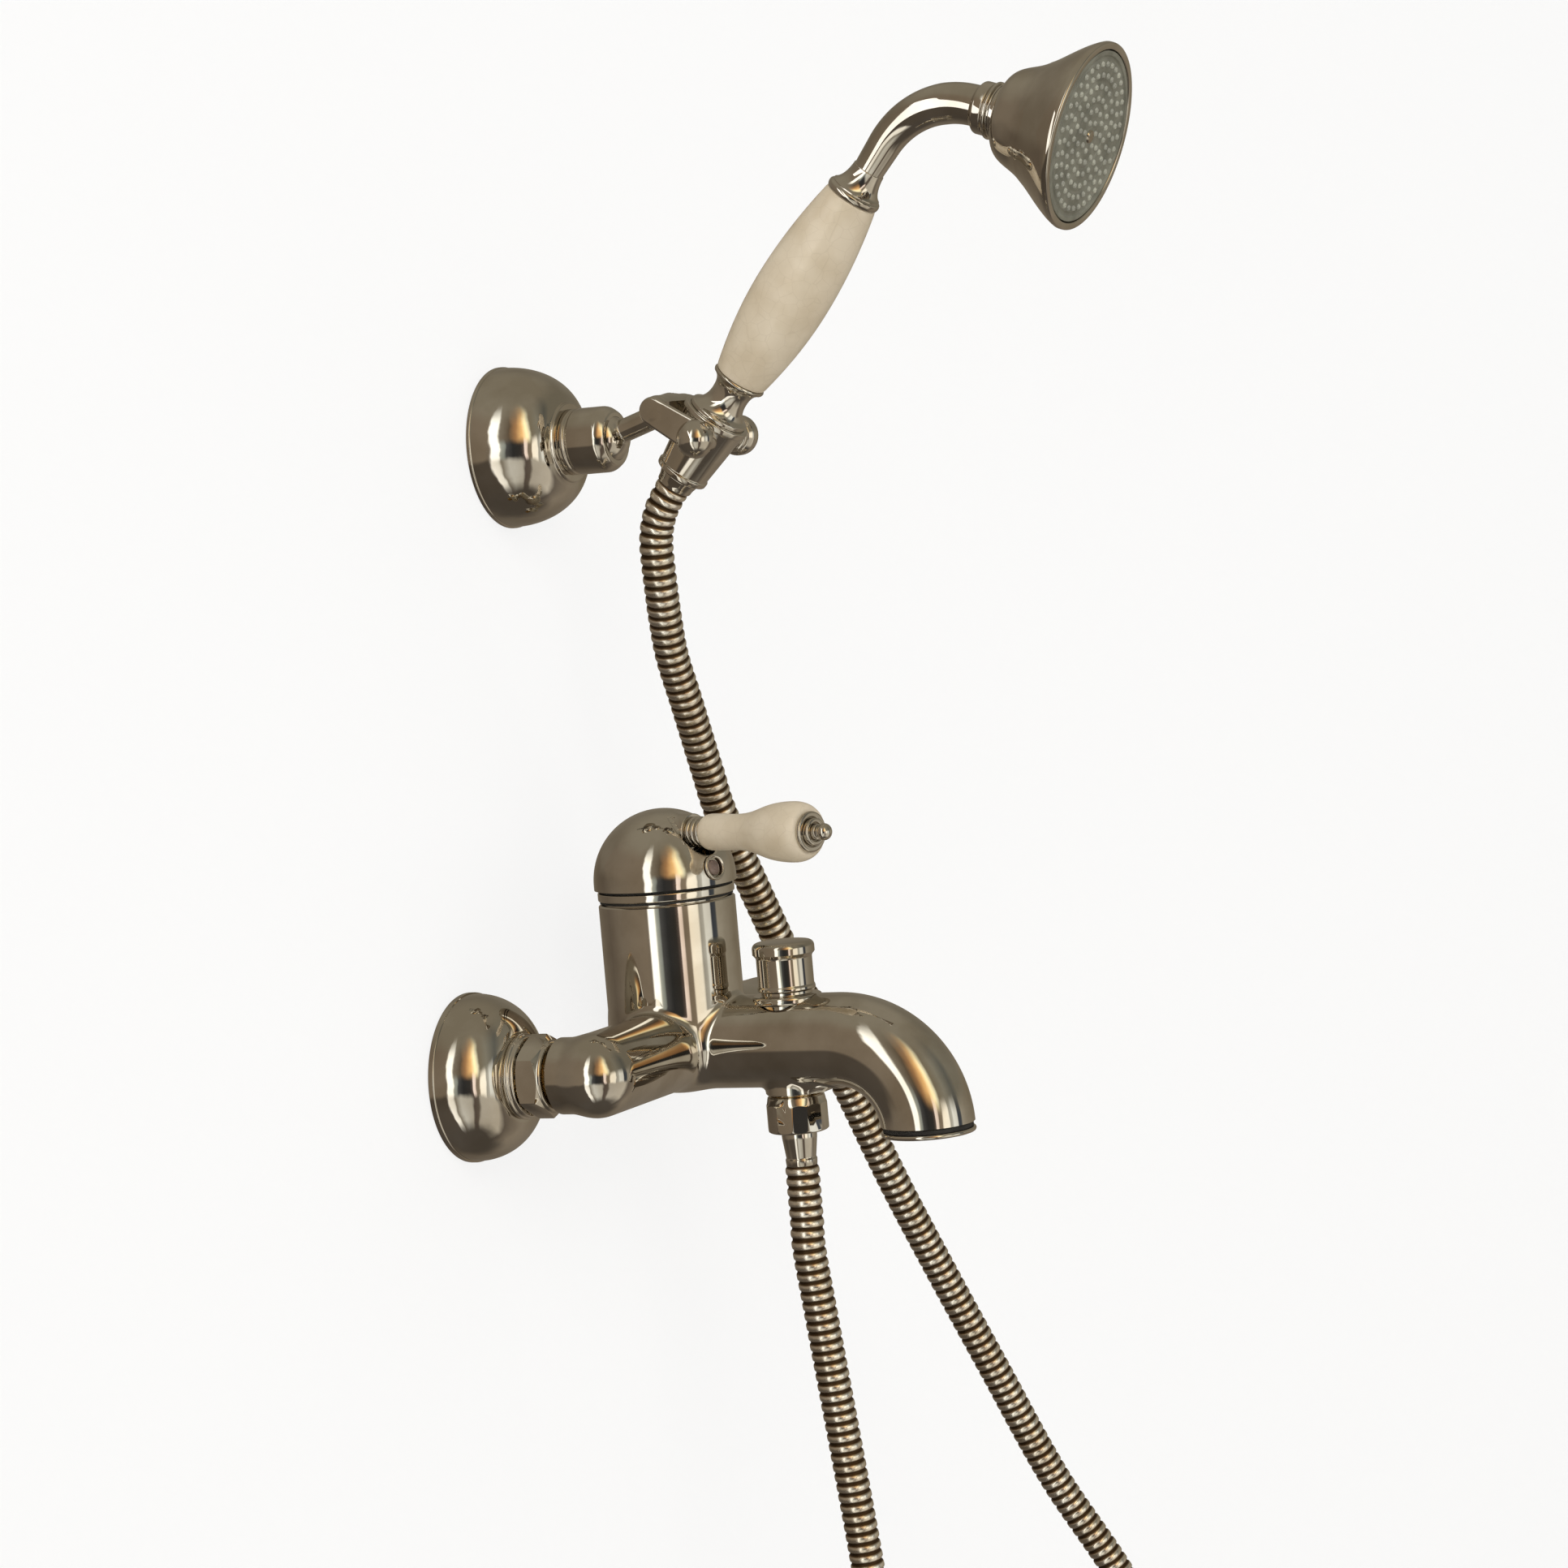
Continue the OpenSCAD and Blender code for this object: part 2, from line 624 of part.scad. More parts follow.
module lever_dome() {
    color(chrome) difference() {
        union() {
            on_housing(lever_turn) difference() {
                union() {
                    translate([0, 0, dome_centre]) sphere(r = dome_r);
                    translate([0, 0, dome_low]) cylinder(r = dome_r, h = dome_centre - dome_low);
                }
                translate([0, 0, dome_centre]) sphere(r = dome_in);
                translate([0, 0, dome_low - 1]) cylinder(r = dome_in, h = dome_centre - dome_low + 1);
                translate([0, 0, dome_low - dome_r]) cylinder(r = 2 * dome_r, h = dome_r);
            }
            on_housing(lever_turn) intersection() {
                translate([0, 0, dome_centre]) sphere(r = dome_r - 0.2);
                translate([0, 0, dome_low + 3]) cylinder(r = 8.5, h = 40);
            }
            on_lever(boss_start) cylinder(r = boss_r, h = collar_start - boss_start);
        }
        on_lever(collar_start) cylinder(r = recess_r, h = dome_r);
        on_housing(lever_turn) translate([-spindle_w / 2 - seam, -spindle_t / 2 - seam, dome_low])
            cube([spindle_w + 2 * seam, spindle_t + 2 * seam, spindle_top - dome_low + seam]);
        on_lever(rod_start) cylinder(r = rod_hole_r, h = dome_r);
        on_plug() cylinder(r = plug_r + seam, h = 12);
    }
}

// Ribbed ferrule between the dome's boss and the ceramic.
module lever_collar() {
    rib_count = 3;
    length = ceramic_start - collar_start;
    foot = 1.6;
    pitch = (length - foot) / rib_count;
    ribs = [for (i = [0 : rib_count - 1]) for (a = [0 : 30 : 180])
        [6.4 + 0.7 * sin(a), foot + pitch * (i + 0.5) - pitch * 0.42 * cos(a)]];
    color(chrome) on_lever(collar_start) difference() {
        revolved(concat([[0, 0], [boss_r, 0], [boss_r, foot]], ribs, [[6.4, length], [0, length]]));
        translate([0, 0, -1]) cylinder(r = rod_hole_r, h = length + 2);
    }
}

cap_len = 5.5;
cap_r = 8.2;
rod_past = 2;

module lever_rod() {
    color(brass) on_lever(rod_start) cylinder(r = lever_rod_r, h = ceramic_end + rod_past - rod_start);
}

module lever_grip() {
    waist = ceramic_start + lever_len * 0.3;
    belly = ceramic_start + lever_len * 0.86;
    root = bezier([lever_root_r - 1.2, ceramic_start], [lever_root_r + 0.2, ceramic_start],
        [lever_root_r, ceramic_start + 4], [lever_root_r - 0.2, waist], 8);
    swell = bezier([lever_root_r - 0.2, waist], [lever_root_r, waist + 14],
        [lever_end_r, belly - 16], [lever_end_r, belly], 12);
    end = bezier([lever_end_r, belly], [lever_end_r, belly + 3.5], [cap_r + 2, ceramic_end],
        [cap_r + 0.4, ceramic_end], 8);
    color(ceramic) on_lever(0) revolved(concat([[ceramic_bore, ceramic_start]], root, swell, end,
        [[ceramic_bore, ceramic_end]]));
}

// Stepped cap with a small finial that closes the ceramic.
module lever_cap() {
    dome = [for (a = [0 : 15 : 90]) [3.4 * cos(a), cap_len + 2.6 + 3 * sin(a)]];
    color(chrome) on_lever(ceramic_end) difference() {
        revolved(concat([[0, seam], [cap_r, seam], [cap_r, 1.6], [cap_r - 1.2, 2.2], [cap_r - 1.2, 3.4],
            [cap_r - 2.6, 4], [cap_r - 3, cap_len], [2.4, cap_len + 1]], dome, [[0, cap_len + 5.6]]));
        translate([0, 0, -1]) cylinder(r = rod_hole_r, h = rod_past + 1);
    }
}

module index_plug() {
    lip = plug_r + 0.8;
    face = dome_r - plug_seat + 0.05;
    color(chrome) on_plug() revolved([[0, 0], [plug_r, 0], [plug_r, face], [lip, face], [lip, face + 0.6],
        [lip - 0.8, face + 1], [lip - 1.6, face + 0.4], [0, face + 0.2]]);
}

// ---- diverter --------------------------------------------------------------

module on_diverter() {
    translate([0, -diverter_reach, 0]) children();
}

module diverter_bonnet() {
    bevel = 0.8;
    color(chrome) on_diverter() difference() {
        union() {
            translate([0, 0, bonnet_low]) cylinder(r = diverter_ring_r, h = bonnet_high - bonnet_low - bevel);
            translate([0, 0, bonnet_high - bevel])
                cylinder(r1 = diverter_ring_r, r2 = diverter_ring_r - bevel, h = bevel);
            translate([0, 0, spout_z + 4]) cylinder(r = bonnet_thread_r, h = bonnet_low - spout_z - 4);
        }
        translate([0, 0, spout_z + 3]) cylinder(r = valve_r + 0.4, h = diverter_lift + 1);
        translate([0, 0, spout_z]) cylinder(r = stem_r + running, h = 40);
    }
}

module diverter_knob() {
    rim = diverter_knob_r;
    top = knob_low + diverter_knob_h;
    neck_top = top - 6;
    edge = [for (a = [0 : 15 : 90]) [rim - 2.2 + 2.2 * cos(a), top - 2.2 - 0.6 + 2.2 * sin(a)]];
    color(chrome) on_diverter() difference() {
        revolved(concat([[0, knob_low], [knob_body_r + 0.4, knob_low], [knob_body_r, knob_low + 1.5],
            [knob_body_r - 0.2, neck_top - 2], [knob_body_r, neck_top], [rim, neck_top + 1.4]],
            edge, [[rim - 5, top], [0, top]]));
        translate([0, 0, knob_low - 1]) cylinder(r = stem_r + seam, h = 10);
    }
}

module diverter_stem() {
    color(brass) on_diverter() translate([0, 0, spout_z - 1]) cylinder(r = stem_r, h = knob_low + 8 - spout_z + 1);
}

module diverter_valve() {
    valve_h = 3;
    color(rubber) on_diverter() ring(valve_r, stem_r + seam, spout_z - 1, spout_z - 1 + valve_h);
}

// ---- hose and its fittings -------------------------------------------------

module hose_nipple() {
    color(brass) on_diverter() difference() {
        union() {
            translate([0, 0, nipple_low]) cylinder(r = hose_thread_r, h = hose_boss_low - nipple_low);
            translate([0, 0, hose_boss_low]) cylinder(r = 8, h = 7);
        }
        translate([0, 0, nipple_low - 1]) cylinder(r = nipple_bore, h = 40);
    }
}

module hose_seal_lower() {
    color(rubber) on_diverter() ring(hose_thread_r - 0.8, nipple_bore, lower_seal_low, nipple_low);
}

module hose_nut_lower() {
    shoulder = 2.4;
    color(chrome) on_diverter() difference() {
        union() {
            translate([0, 0, lower_nut_low])
                cylinder(r = lower_nut_r / cos(15), h = lower_nut_high - shoulder - lower_nut_low, $fn = 12);
            translate([0, 0, lower_nut_high - shoulder])
                cylinder(r1 = lower_nut_r, r2 = lower_nut_r - 1, h = shoulder);
        }
        translate([0, 0, lower_flange_low]) cylinder(r = hose_thread_r + thread_gap, h = 40);
        translate([0, 0, lower_nut_low - 1]) cylinder(r = ferrule_stem_r + 1.2 + slip, h = 40);
    }
}

module hose_ferrule_lower() {
    color(chrome) on_diverter() difference() {
        union() {
            translate([0, 0, lower_flange_low])
                cylinder(r = hose_thread_r - 0.8, h = lower_seal_low - lower_flange_low);
            translate([0, 0, lower_nut_low])
                cylinder(r = ferrule_stem_r + 1.2, h = lower_flange_low - lower_nut_low);
            translate([0, 0, lower_ferrule_low]) cylinder(r1 = ferrule_stem_r + 0.1, r2 = ferrule_stem_r + 1.2,
                h = lower_nut_low - lower_ferrule_low);
        }
        translate([0, 0, lower_ferrule_low + 2]) cylinder(r = 4.2, h = 60);
    }
}

module shower_hose() {
    eased = smooth(hose_route, 2);
    // The first ring stands square to the ferrule.
    path = concat([eased[0]], [(eased[0] + eased[2]) / 2], [for (i = [2 : len(eased) - 1]) eased[i]]);
    color("rosybrown") swept(path, [for (p = path) hose_r], 12, [0, 1, 0]);
}

// ---- handset: everything on the handset's axis ------------------------------

module on_handset() {
    rising(rim_reach, rim_z, handset_tilt) children();
}

module hose_ferrule_upper() {
    stem_low = -cup_len - 0.8;
    color(chrome) on_handset() difference() {
        union() {
            translate([0, 0, cone_flange_low]) cylinder(r = hose_thread_r - 0.8, h = 2);
            translate([0, 0, stem_low]) cylinder(r = ferrule_stem_r, h = cone_flange_low - stem_low);
            translate([0, 0, upper_ferrule_low])
                cylinder(r1 = hose_r + 0.6, r2 = cone_small - 0.1, h = stem_low - upper_ferrule_low);
        }
        translate([0, 0, upper_ferrule_low + 2]) cylinder(r = 4.2, h = 60);
    }
}

module hose_seal_upper() {
    color(rubber) on_handset() ring(hose_thread_r - 0.8, 4.6, -spigot_len - seal_t, -spigot_len);
}

module hose_nut_upper() {
    cone_low = -cup_len - 0.5;
    cone_high = -0.4;
    color(chrome) on_handset() difference() {
        translate([0, 0, cone_low]) cylinder(r1 = cone_small, r2 = cone_big, h = cone_high - cone_low);
        translate([0, 0, -spigot_len - 0.3]) cylinder(r = hose_thread_r + thread_gap, h = 20);
        translate([0, 0, cone_flange_low - seam]) cylinder(r = hose_thread_r - 0.7, h = 20);
        translate([0, 0, cone_low - 1]) cylinder(r = ferrule_stem_r + slip, h = 60);
    }
}

module handset_ferrule_lower() {
    flange_r = cup_in_big - 0.1;
    waist_r = 7.7;
    lower = bezier([flange_r - 1, flange_t], [waist_r + 1.5, flange_t + 0.8], [waist_r, 6], [waist_r, 9.5], 8);
    upper = bezier([waist_r, 9.5], [waist_r, 13], [grip_end_r - 2.5, 15], [grip_end_r + 0.2, grip_low - 1], 8);
    color(chrome) on_handset() difference() {
        union() {
            translate([0, 0, -spigot_len]) cylinder(r = hose_thread_r, h = spigot_len + seam);
            revolved(concat([[0, 0], [flange_r, 0], [flange_r, flange_t - 0.8]], lower, upper,
                [[grip_end_r + 0.2, grip_low], [0, grip_low]]));
        }
        translate([0, 0, -spigot_len - 1]) cylinder(r = 4.6, h = 60);
        translate([0, 0, 10]) cylinder(r = tube_r + seam, h = 60);
    }
}

module handset_tube() {
    color(brass) on_handset() ring(tube_r, tube_r - 1, 10, grip_high + 6);
}

module handset_grip() {
    middle = grip_low + grip_len * 0.47;
    rise = bezier([grip_end_r, grip_low + seam], [grip_end_r + 2.6, grip_low + 12],
        [grip_mid_r, middle - 16], [grip_mid_r, middle], 12);
    fall = bezier([grip_mid_r, middle], [grip_mid_r, middle + 18],
        [grip_end_r + 2.4, grip_high - 12], [grip_end_r, grip_high - seam], 12);
    color(ceramic) on_handset() revolved(concat([[tube_r + 0.3, grip_low + seam]], rise, fall,
        [[tube_r + 0.3, grip_high - seam]]));
}

module handset_ferrule_upper() {
    length = neck_start - grip_high;
    slope = bezier([grip_end_r - 0.6, grip_high + 3.4], [neck_r + 1.6, grip_high + 5],
        [neck_r + 0.6, grip_high + 9], [neck_r + 0.4, grip_high + 13], 8);
    color(chrome) on_handset() difference() {
        revolved(concat([[0, grip_high], [grip_end_r + 0.3, grip_high], [grip_end_r + 0.5, grip_high + 2.2],
            [grip_end_r - 0.6, grip_high + 3]], slope, [[0, grip_high + 13]]));
        translate([0, 0, grip_high - 1]) cylinder(r = tube_r + seam, h = 7);
        translate([0, 0, grip_high]) cylinder(r = tube_r - 1, h = length);
    }
}

// The neck grows a little from the grip to the head along its bend.
neck_low = grip_high + 13 + seam;
neck_path = concat(
    [for (i = [0 : 3]) let (s = neck_low + (neck_start - neck_low) * i / 3)
        [0, -(rim_reach + s * out_t), rim_z + s * up_t]],
    [for (i = [1 : 10]) let (a = handset_tilt - neck_turn * i / 10)
        [0, -(bend_reach - neck_bend_r * sin(a)), bend_z + neck_bend_r * cos(a)]],
    [[0, -(head_reach - 1.2 * cos(head_drop)), head_z + 1.2 * sin(head_drop)]]);

neck_sides = 20;

module handset_neck() {
    n = len(neck_path) - 1;
    outer = [for (i = [0 : n]) neck_r + (neck_top_r - neck_r) * min(1, i / 9)];
    inner = [for (r = outer) r - 1.6];
    color(chrome) difference() {
        swept(neck_path, outer, neck_sides, [1, 0, 0]);
        swept([for (i = [0 : n]) neck_path[i] + (i == 0 ? -0.5 : i == n ? 0.5 : 0) * along(neck_path, i)],
            inner, neck_sides, [1, 0, 0]);
    }
}

module on_head() {
    rising(head_reach, head_z, -head_drop) children();
}

head_neck_r = 12;

module head_collar() {
    length = 9;
    flare = bezier([neck_top_r + 1, -length], [neck_top_r + 1.2, -length + 4], [head_neck_r - 1.5, -3.4],
        [head_neck_r - 0.6, -2.6], 6);
    color(chrome) on_head() difference() {
        revolved(concat([[0, -length]], flare, [[head_neck_r, -2], [head_neck_r, -0.2], [0, -0.2]]));
        translate([0, 0, -length - 1]) cylinder(r = neck_top_r + 0.12, h = length - 0.1);
        translate([0, 0, -length]) cylinder(r = 5, h = length + 1);
    }
}

function bell_curve(grow) = concat(
    bezier([head_neck_r + 1.5 + grow, 0.3 + sheet], [20 + grow, 4], [19.5 + grow, 12], [24.5 + grow, 19], 10),
    bezier([24.5 + grow, 19], [27 + grow, 23.5], [head_r - 2.4 + grow, head_depth - 8],
        [head_r + grow, head_depth - 2], 8));

module head_bell() {
    outer = bell_curve(0);
    inner = bell_curve(-sheet);
    color(chrome) on_head() revolved(concat([[5, 0], [head_neck_r + 0.8, 0]], outer, [[head_r, head_depth],
        [plate_r + 0.1, head_depth], [plate_r + 0.1, head_depth - plate_t - 0.6]],
        reversed([for (p = inner) [p[0], p[1] + (p[1] < 5 ? sheet : 0)]]), [[5, 2 * sheet + 0.3]]));
}

nozzle_rings = [[5.5, 6], [11, 12], [16.5, 18], [22, 24], [27.5, 30]];

module head_plate() {
    nozzle_r = 0.9;
    low = head_depth - plate_t - 0.4;
    color("darkseagreen") on_head() difference() {
        translate([0, 0, low]) cylinder(r = plate_r, h = plate_t);
        for (row = nozzle_rings) for (i = [0 : row[1] - 1]) rotate([0, 0, 360 * i / row[1]])
            translate([row[0] * plate_r / 33, 0, low - 1]) cylinder(r = nozzle_r, h = plate_t + 2, $fn = 6);
        translate([0, 0, low - 1]) cylinder(r = 1.5 + seam, h = 10);
    }
}

module head_screw() {
    low = head_depth - 0.4;
    post_low = 2 * sheet + 0.5;
    color(chrome) on_head() {
        translate([0, 0, low]) cylinder(r1 = 2.8, r2 = 2.2, h = 1);
        translate([0, 0, post_low + 6]) cylinder(r = 1.5, h = low - post_low - 6 + seam);
        translate([0, 0, post_low]) ring(3, 1.5 - seam, 0, 7);
        for (a = [0, 120, 240]) rotate([0, 0, a]) translate([2.5, -0.8, post_low]) cube([6, 1.6, 2]);
    }
}

// ---- bracket ---------------------------------------------------------------

plate_disc_r = bracket_r - 4;
plate_disc_t = 3;
post_r = 8;
post_end = ball_reach - ball_r - 1.4;
screw_r = 2.2;
screw_head_r = 4.2;

module on_bracket() {
    outward(0, bracket_z) children();
}

module bracket_plate() {
    color(brass) on_bracket() difference() {
        union() {
            cylinder(r = plate_disc_r, h = plate_disc_t);
            cylinder(r = post_r, h = post_end);
        }
        for (s = sides) translate([0, s * plate_screw_gap / 2, -1]) cylinder(r = screw_r + 0.3, h = plate_disc_t + 2);
    }
}

module bracket_screws() {
    screw_len = 28;
    shank = 1;
    color("gray") on_bracket() for (s = sides) translate([0, s * plate_screw_gap / 2, 0]) {
        translate([0, 0, -screw_len]) cylinder(r = screw_r, h = screw_len - shank);
        translate([0, 0, -shank]) cylinder(r = screw_r - 0.2, h = shank + plate_disc_t);
        translate([0, 0, plate_disc_t]) cylinder(r1 = screw_head_r, r2 = screw_head_r - 1.4, h = 2.2);
    }
}

module bracket_escutcheon() {
    outer = cap_curve(bracket_r, collar_r + 1.4, bracket_depth);
    inner = cap_curve(bracket_r - sheet, collar_r + 0.2, bracket_depth - sheet);
    hole = post_r + 0.2;
    seat = bracket_depth - sheet;
    color(chrome) on_bracket() revolved(concat(outer,
        [[hole, bracket_depth], [hole, seat]], reversed(inner)));
}

// Collar that screws on the plate's post and holds the swivel ball.
module bracket_collar() {
    mouth = 5.6;
    low = bracket_depth + 0.1;
    top = ball_reach + mouth;
    nose = bezier([collar_r, top - 5], [collar_r, top - 1.6], [collar_r - 1, top - 0.4], [collar_r - 2.8, top], 6);
    color(chrome) on_bracket() difference() {
        revolved(concat([[0, low], [collar_r, low]], nose, [[0, top]]));
        translate([0, 0, low - 1]) cylinder(r = post_r + 0.1, h = post_end - low + 1.3);
        translate([0, 0, ball_reach]) sphere(r = ball_r + running);
        translate([0, 0, post_end]) cylinder(r = ball_r * 0.7, h = 6);
        translate([0, 0, ball_reach]) cylinder(r = sqrt(ball_r * ball_r - mouth * mouth), h = 20);
    }
}

// Plate of thickness t across x, between two round ends given as [y, z].
module link(a, r_a, b, r_b, t) {
    run = b - a;
    side = [-run[1], run[0]] / norm(run);
    rotate([90, 0, 90]) linear_extrude(height = t) {
        translate(a) circle(r = r_a);
        translate(b) circle(r = r_b);
        polygon([a + r_a * side, b + r_b * side, b - r_b * side, a - r_a * side]);
    }
}

eye_r = 6.6;
cup_sweep_r = 21;
grease_bore_r = 1.5;

module bracket_arm() {
    color(chrome) difference() {
        union() {
            translate([0, -ball_reach, bracket_z]) sphere(r = ball_r);
            rising(ball_reach, bracket_z, rod_rise) cylinder(r = rod_r, h = rod_len);
            translate([-prong_out, -hub_reach, hub_z]) rotate([0, 90, 0]) cylinder(r = hub_r, h = 2 * prong_out);
            for (low = [-prong_out, prong_in]) translate([low, 0, 0])
                link([-hub_reach, hub_z], hub_r, [-pivot_reach, cradle_pivot_z], eye_r, prong_t);
        }
        translate([0, -ball_reach, bracket_z - ball_r]) cylinder(r = grease_bore_r, h = 2 * ball_r);
        translate([-prong_in, -pivot_reach, cradle_pivot_z]) rotate([0, 90, 0])
            cylinder(r = cup_sweep_r, h = 2 * prong_in);
        translate([-prong_out - 1, -pivot_reach, cradle_pivot_z]) rotate([0, 90, 0])
            cylinder(r = pivot_r + running, h = 2 * prong_out + 2);
    }
}

module on_cradle_pivot() {
    translate([0, -pivot_reach, cradle_pivot_z]) children();
}

module cradle_cup() {
    cup_low = -cup_len;
    color(chrome) difference() {
        union() {
            on_handset() {
                translate([0, 0, cup_low]) cylinder(r1 = cup_small, r2 = cup_big, h = cup_len);
                translate([0, 0, -2.4]) cylinder(r = cup_big + rim_band, h = 2.4);
                translate([0, 0, cup_low]) cylinder(r = cup_small + 0.7, h = 2);
            }
            on_cradle_pivot() translate([-boss_x, 0, 0]) rotate([0, 90, 0]) cylinder(r = eye_r - 1, h = 2 * boss_x);
        }
        on_handset() {
            translate([0, 0, cup_low - seam]) cylinder(r1 = cup_in_small, r2 = cup_in_big, h = cup_len + 2 * seam);
            translate([-slot_w / 2, -40, cup_low - 1]) cube([slot_w, 40, cup_len + 2]);
        }
        on_cradle_pivot() translate([-boss_x - 1, 0, 0]) rotate([0, 90, 0])
            cylinder(r = pivot_r + seam, h = 2 * boss_x + 2);
    }
}

pivot_in = cup_in_big - 0.2;

// Ball-headed pivot screw on the hot side of the cradle.
module cradle_screw() {
    head_r = 7;
    color(chrome) on_cradle_pivot() {
        rotate([0, -90, 0]) translate([0, 0, pivot_in]) cylinder(r = pivot_r, h = prong_out + 0.15 - pivot_in);
        intersection() {
            translate([-prong_out - 0.15, 0, 0]) sphere(r = head_r);
            translate([-prong_out - 0.15 - 2 * head_r, -head_r, -head_r]) cube([2 * head_r, 2 * head_r, 2 * head_r]);
        }
    }
}

// Round knob on the other side, which tightens the tilt of the cradle.
module cradle_knob() {
    knob_r = 8.2;
    knob_h = 8;
    rim = [for (a = [0 : 15 : 90]) [knob_r - 3 + 3 * cos(a), knob_h - 3 + 3 * sin(a)]];
    color(chrome) on_cradle_pivot() rotate([0, 90, 0]) {
        translate([0, 0, pivot_in]) cylinder(r = pivot_r, h = prong_out + 0.15 - pivot_in + seam);
        translate([0, 0, prong_out + 0.15])
            revolved(concat([[0, 0], [knob_r - 1.6, 0], [knob_r, 1.8]], rim, [[0, knob_h]]));
    }
}

// ---- left and right copies -------------------------------------------------

module escutcheon_left() { outward(-inlet_x, 0) escutcheon(); }
module escutcheon_right() { outward(inlet_x, 0) escutcheon(); }
module union_left() { outward(-inlet_x, 0) eccentric_union(); }
module union_right() { outward(inlet_x, 0) eccentric_union(); }
module union_nut_left() { outward(-inlet_x, 0) union_nut(); }
module union_nut_right() { outward(inlet_x, 0) union_nut(); }
module union_seal_left() { outward(-inlet_x, 0) union_seal(); }
module union_seal_right() { outward(inlet_x, 0) union_seal(); }
module inlet_sleeve_left() { outward(-inlet_x, 0) inlet_sleeve(); }
module inlet_sleeve_right() { outward(inlet_x, 0) inlet_sleeve(); }

escutcheon_left();
escutcheon_right();
union_left();
union_right();
union_nut_left();
union_nut_right();
union_seal_left();
union_seal_right();
inlet_sleeve_left();
inlet_sleeve_right();
mixer_body();
aerator_housing();
aerator_insert();
cartridge_seals();
cartridge_base();
ceramic_disc_fixed();
ceramic_disc_moving();
disc_carrier();
cartridge_shell();
lever_turret();
pivot_pin();
lever_spindle();
cartridge_nut();
trim_ring();
lever_dome();
lever_collar();
lever_rod();
lever_grip();
lever_cap();
index_plug();
diverter_bonnet();
diverter_knob();
diverter_stem();
diverter_valve();
hose_nipple();
hose_seal_lower();
hose_nut_lower();
hose_ferrule_lower();
shower_hose();
hose_ferrule_upper();
hose_seal_upper();
hose_nut_upper();
handset_ferrule_lower();
handset_grip();
handset_tube();
handset_ferrule_upper();
handset_neck();
head_collar();
head_bell();
head_plate();
head_screw();
bracket_plate();
bracket_screws();
bracket_escutcheon();
bracket_collar();
bracket_arm();
cradle_cup();
cradle_screw();
cradle_knob();
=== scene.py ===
"""Wall mounted bath and shower mixer with a hand shower, dressed for rendering.

Each sub-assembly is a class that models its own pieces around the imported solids.
Local sizes are millimetres; placing a piece turns them to metres in the shared frame.
"""
import logging
from dataclasses import dataclass
from enum import Enum
from math import asin, cos, degrees, pi, radians, sin, tau
from typing import Callable, Optional, Sequence, Union

import bpy
import numpy as np
from mathutils import Matrix, Vector


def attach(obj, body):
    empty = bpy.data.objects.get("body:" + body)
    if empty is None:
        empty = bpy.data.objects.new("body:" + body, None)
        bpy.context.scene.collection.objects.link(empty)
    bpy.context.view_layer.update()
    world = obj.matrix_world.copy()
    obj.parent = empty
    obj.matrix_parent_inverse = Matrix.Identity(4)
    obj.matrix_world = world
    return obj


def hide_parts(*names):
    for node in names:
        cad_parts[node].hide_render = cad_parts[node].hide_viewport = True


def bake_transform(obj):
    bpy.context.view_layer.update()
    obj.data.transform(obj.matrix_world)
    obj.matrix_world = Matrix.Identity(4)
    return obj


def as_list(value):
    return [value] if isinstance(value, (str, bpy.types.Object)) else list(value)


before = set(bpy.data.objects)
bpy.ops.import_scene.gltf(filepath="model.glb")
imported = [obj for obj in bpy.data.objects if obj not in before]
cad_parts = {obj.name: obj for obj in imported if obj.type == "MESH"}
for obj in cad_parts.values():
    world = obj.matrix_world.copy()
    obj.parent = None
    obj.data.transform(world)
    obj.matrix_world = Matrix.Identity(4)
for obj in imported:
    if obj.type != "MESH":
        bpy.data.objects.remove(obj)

LOG = logging.getLogger("bath_mixer")
MM = 0.001
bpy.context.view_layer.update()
Field = Callable[[np.ndarray], np.ndarray]
Obj = bpy.types.Object
Socket = bpy.types.NodeSocket
Triple = tuple[float, float, float]
Stops = tuple[tuple[float, Triple], ...]


class Body(Enum):
    """Rigid bodies of the mixer that pieces ride on."""

    WALL = "wall_set"
    LEVER = "lever"
    DIVERTER = "diverter"
    ARM = "arm"
    CRADLE = "cradle"
    HANDSET = "handset"


class Slot(Enum):
    """Material slots of the record."""

    CHROME = "chrome"
    CERAMIC = "ceramic"
    SPRAY = "spray_face"
    HOSE = "hose"


# ---- finishes -------------------------------------------------------------------


def linear(code: str) -> tuple[float, float, float, float]:
    """Turn an sRGB hex colour to linear light.

    Args:
        code: A hash and six hex digits.

    Returns:
        Linear red, green, blue and an alpha of one.
    """
    parts = [int(code[i:i + 2], 16) / 255 for i in (1, 3, 5)]
    red, green, blue = (p / 12.92 if p <= 0.04045 else ((p + 0.055) / 1.055) ** 2.4
                        for p in parts)
    return red, green, blue, 1.0


def per_mm(size: float) -> float:
    """Return the texture scale that repeats about once in size millimetres."""
    return 1.0 / (size * MM)


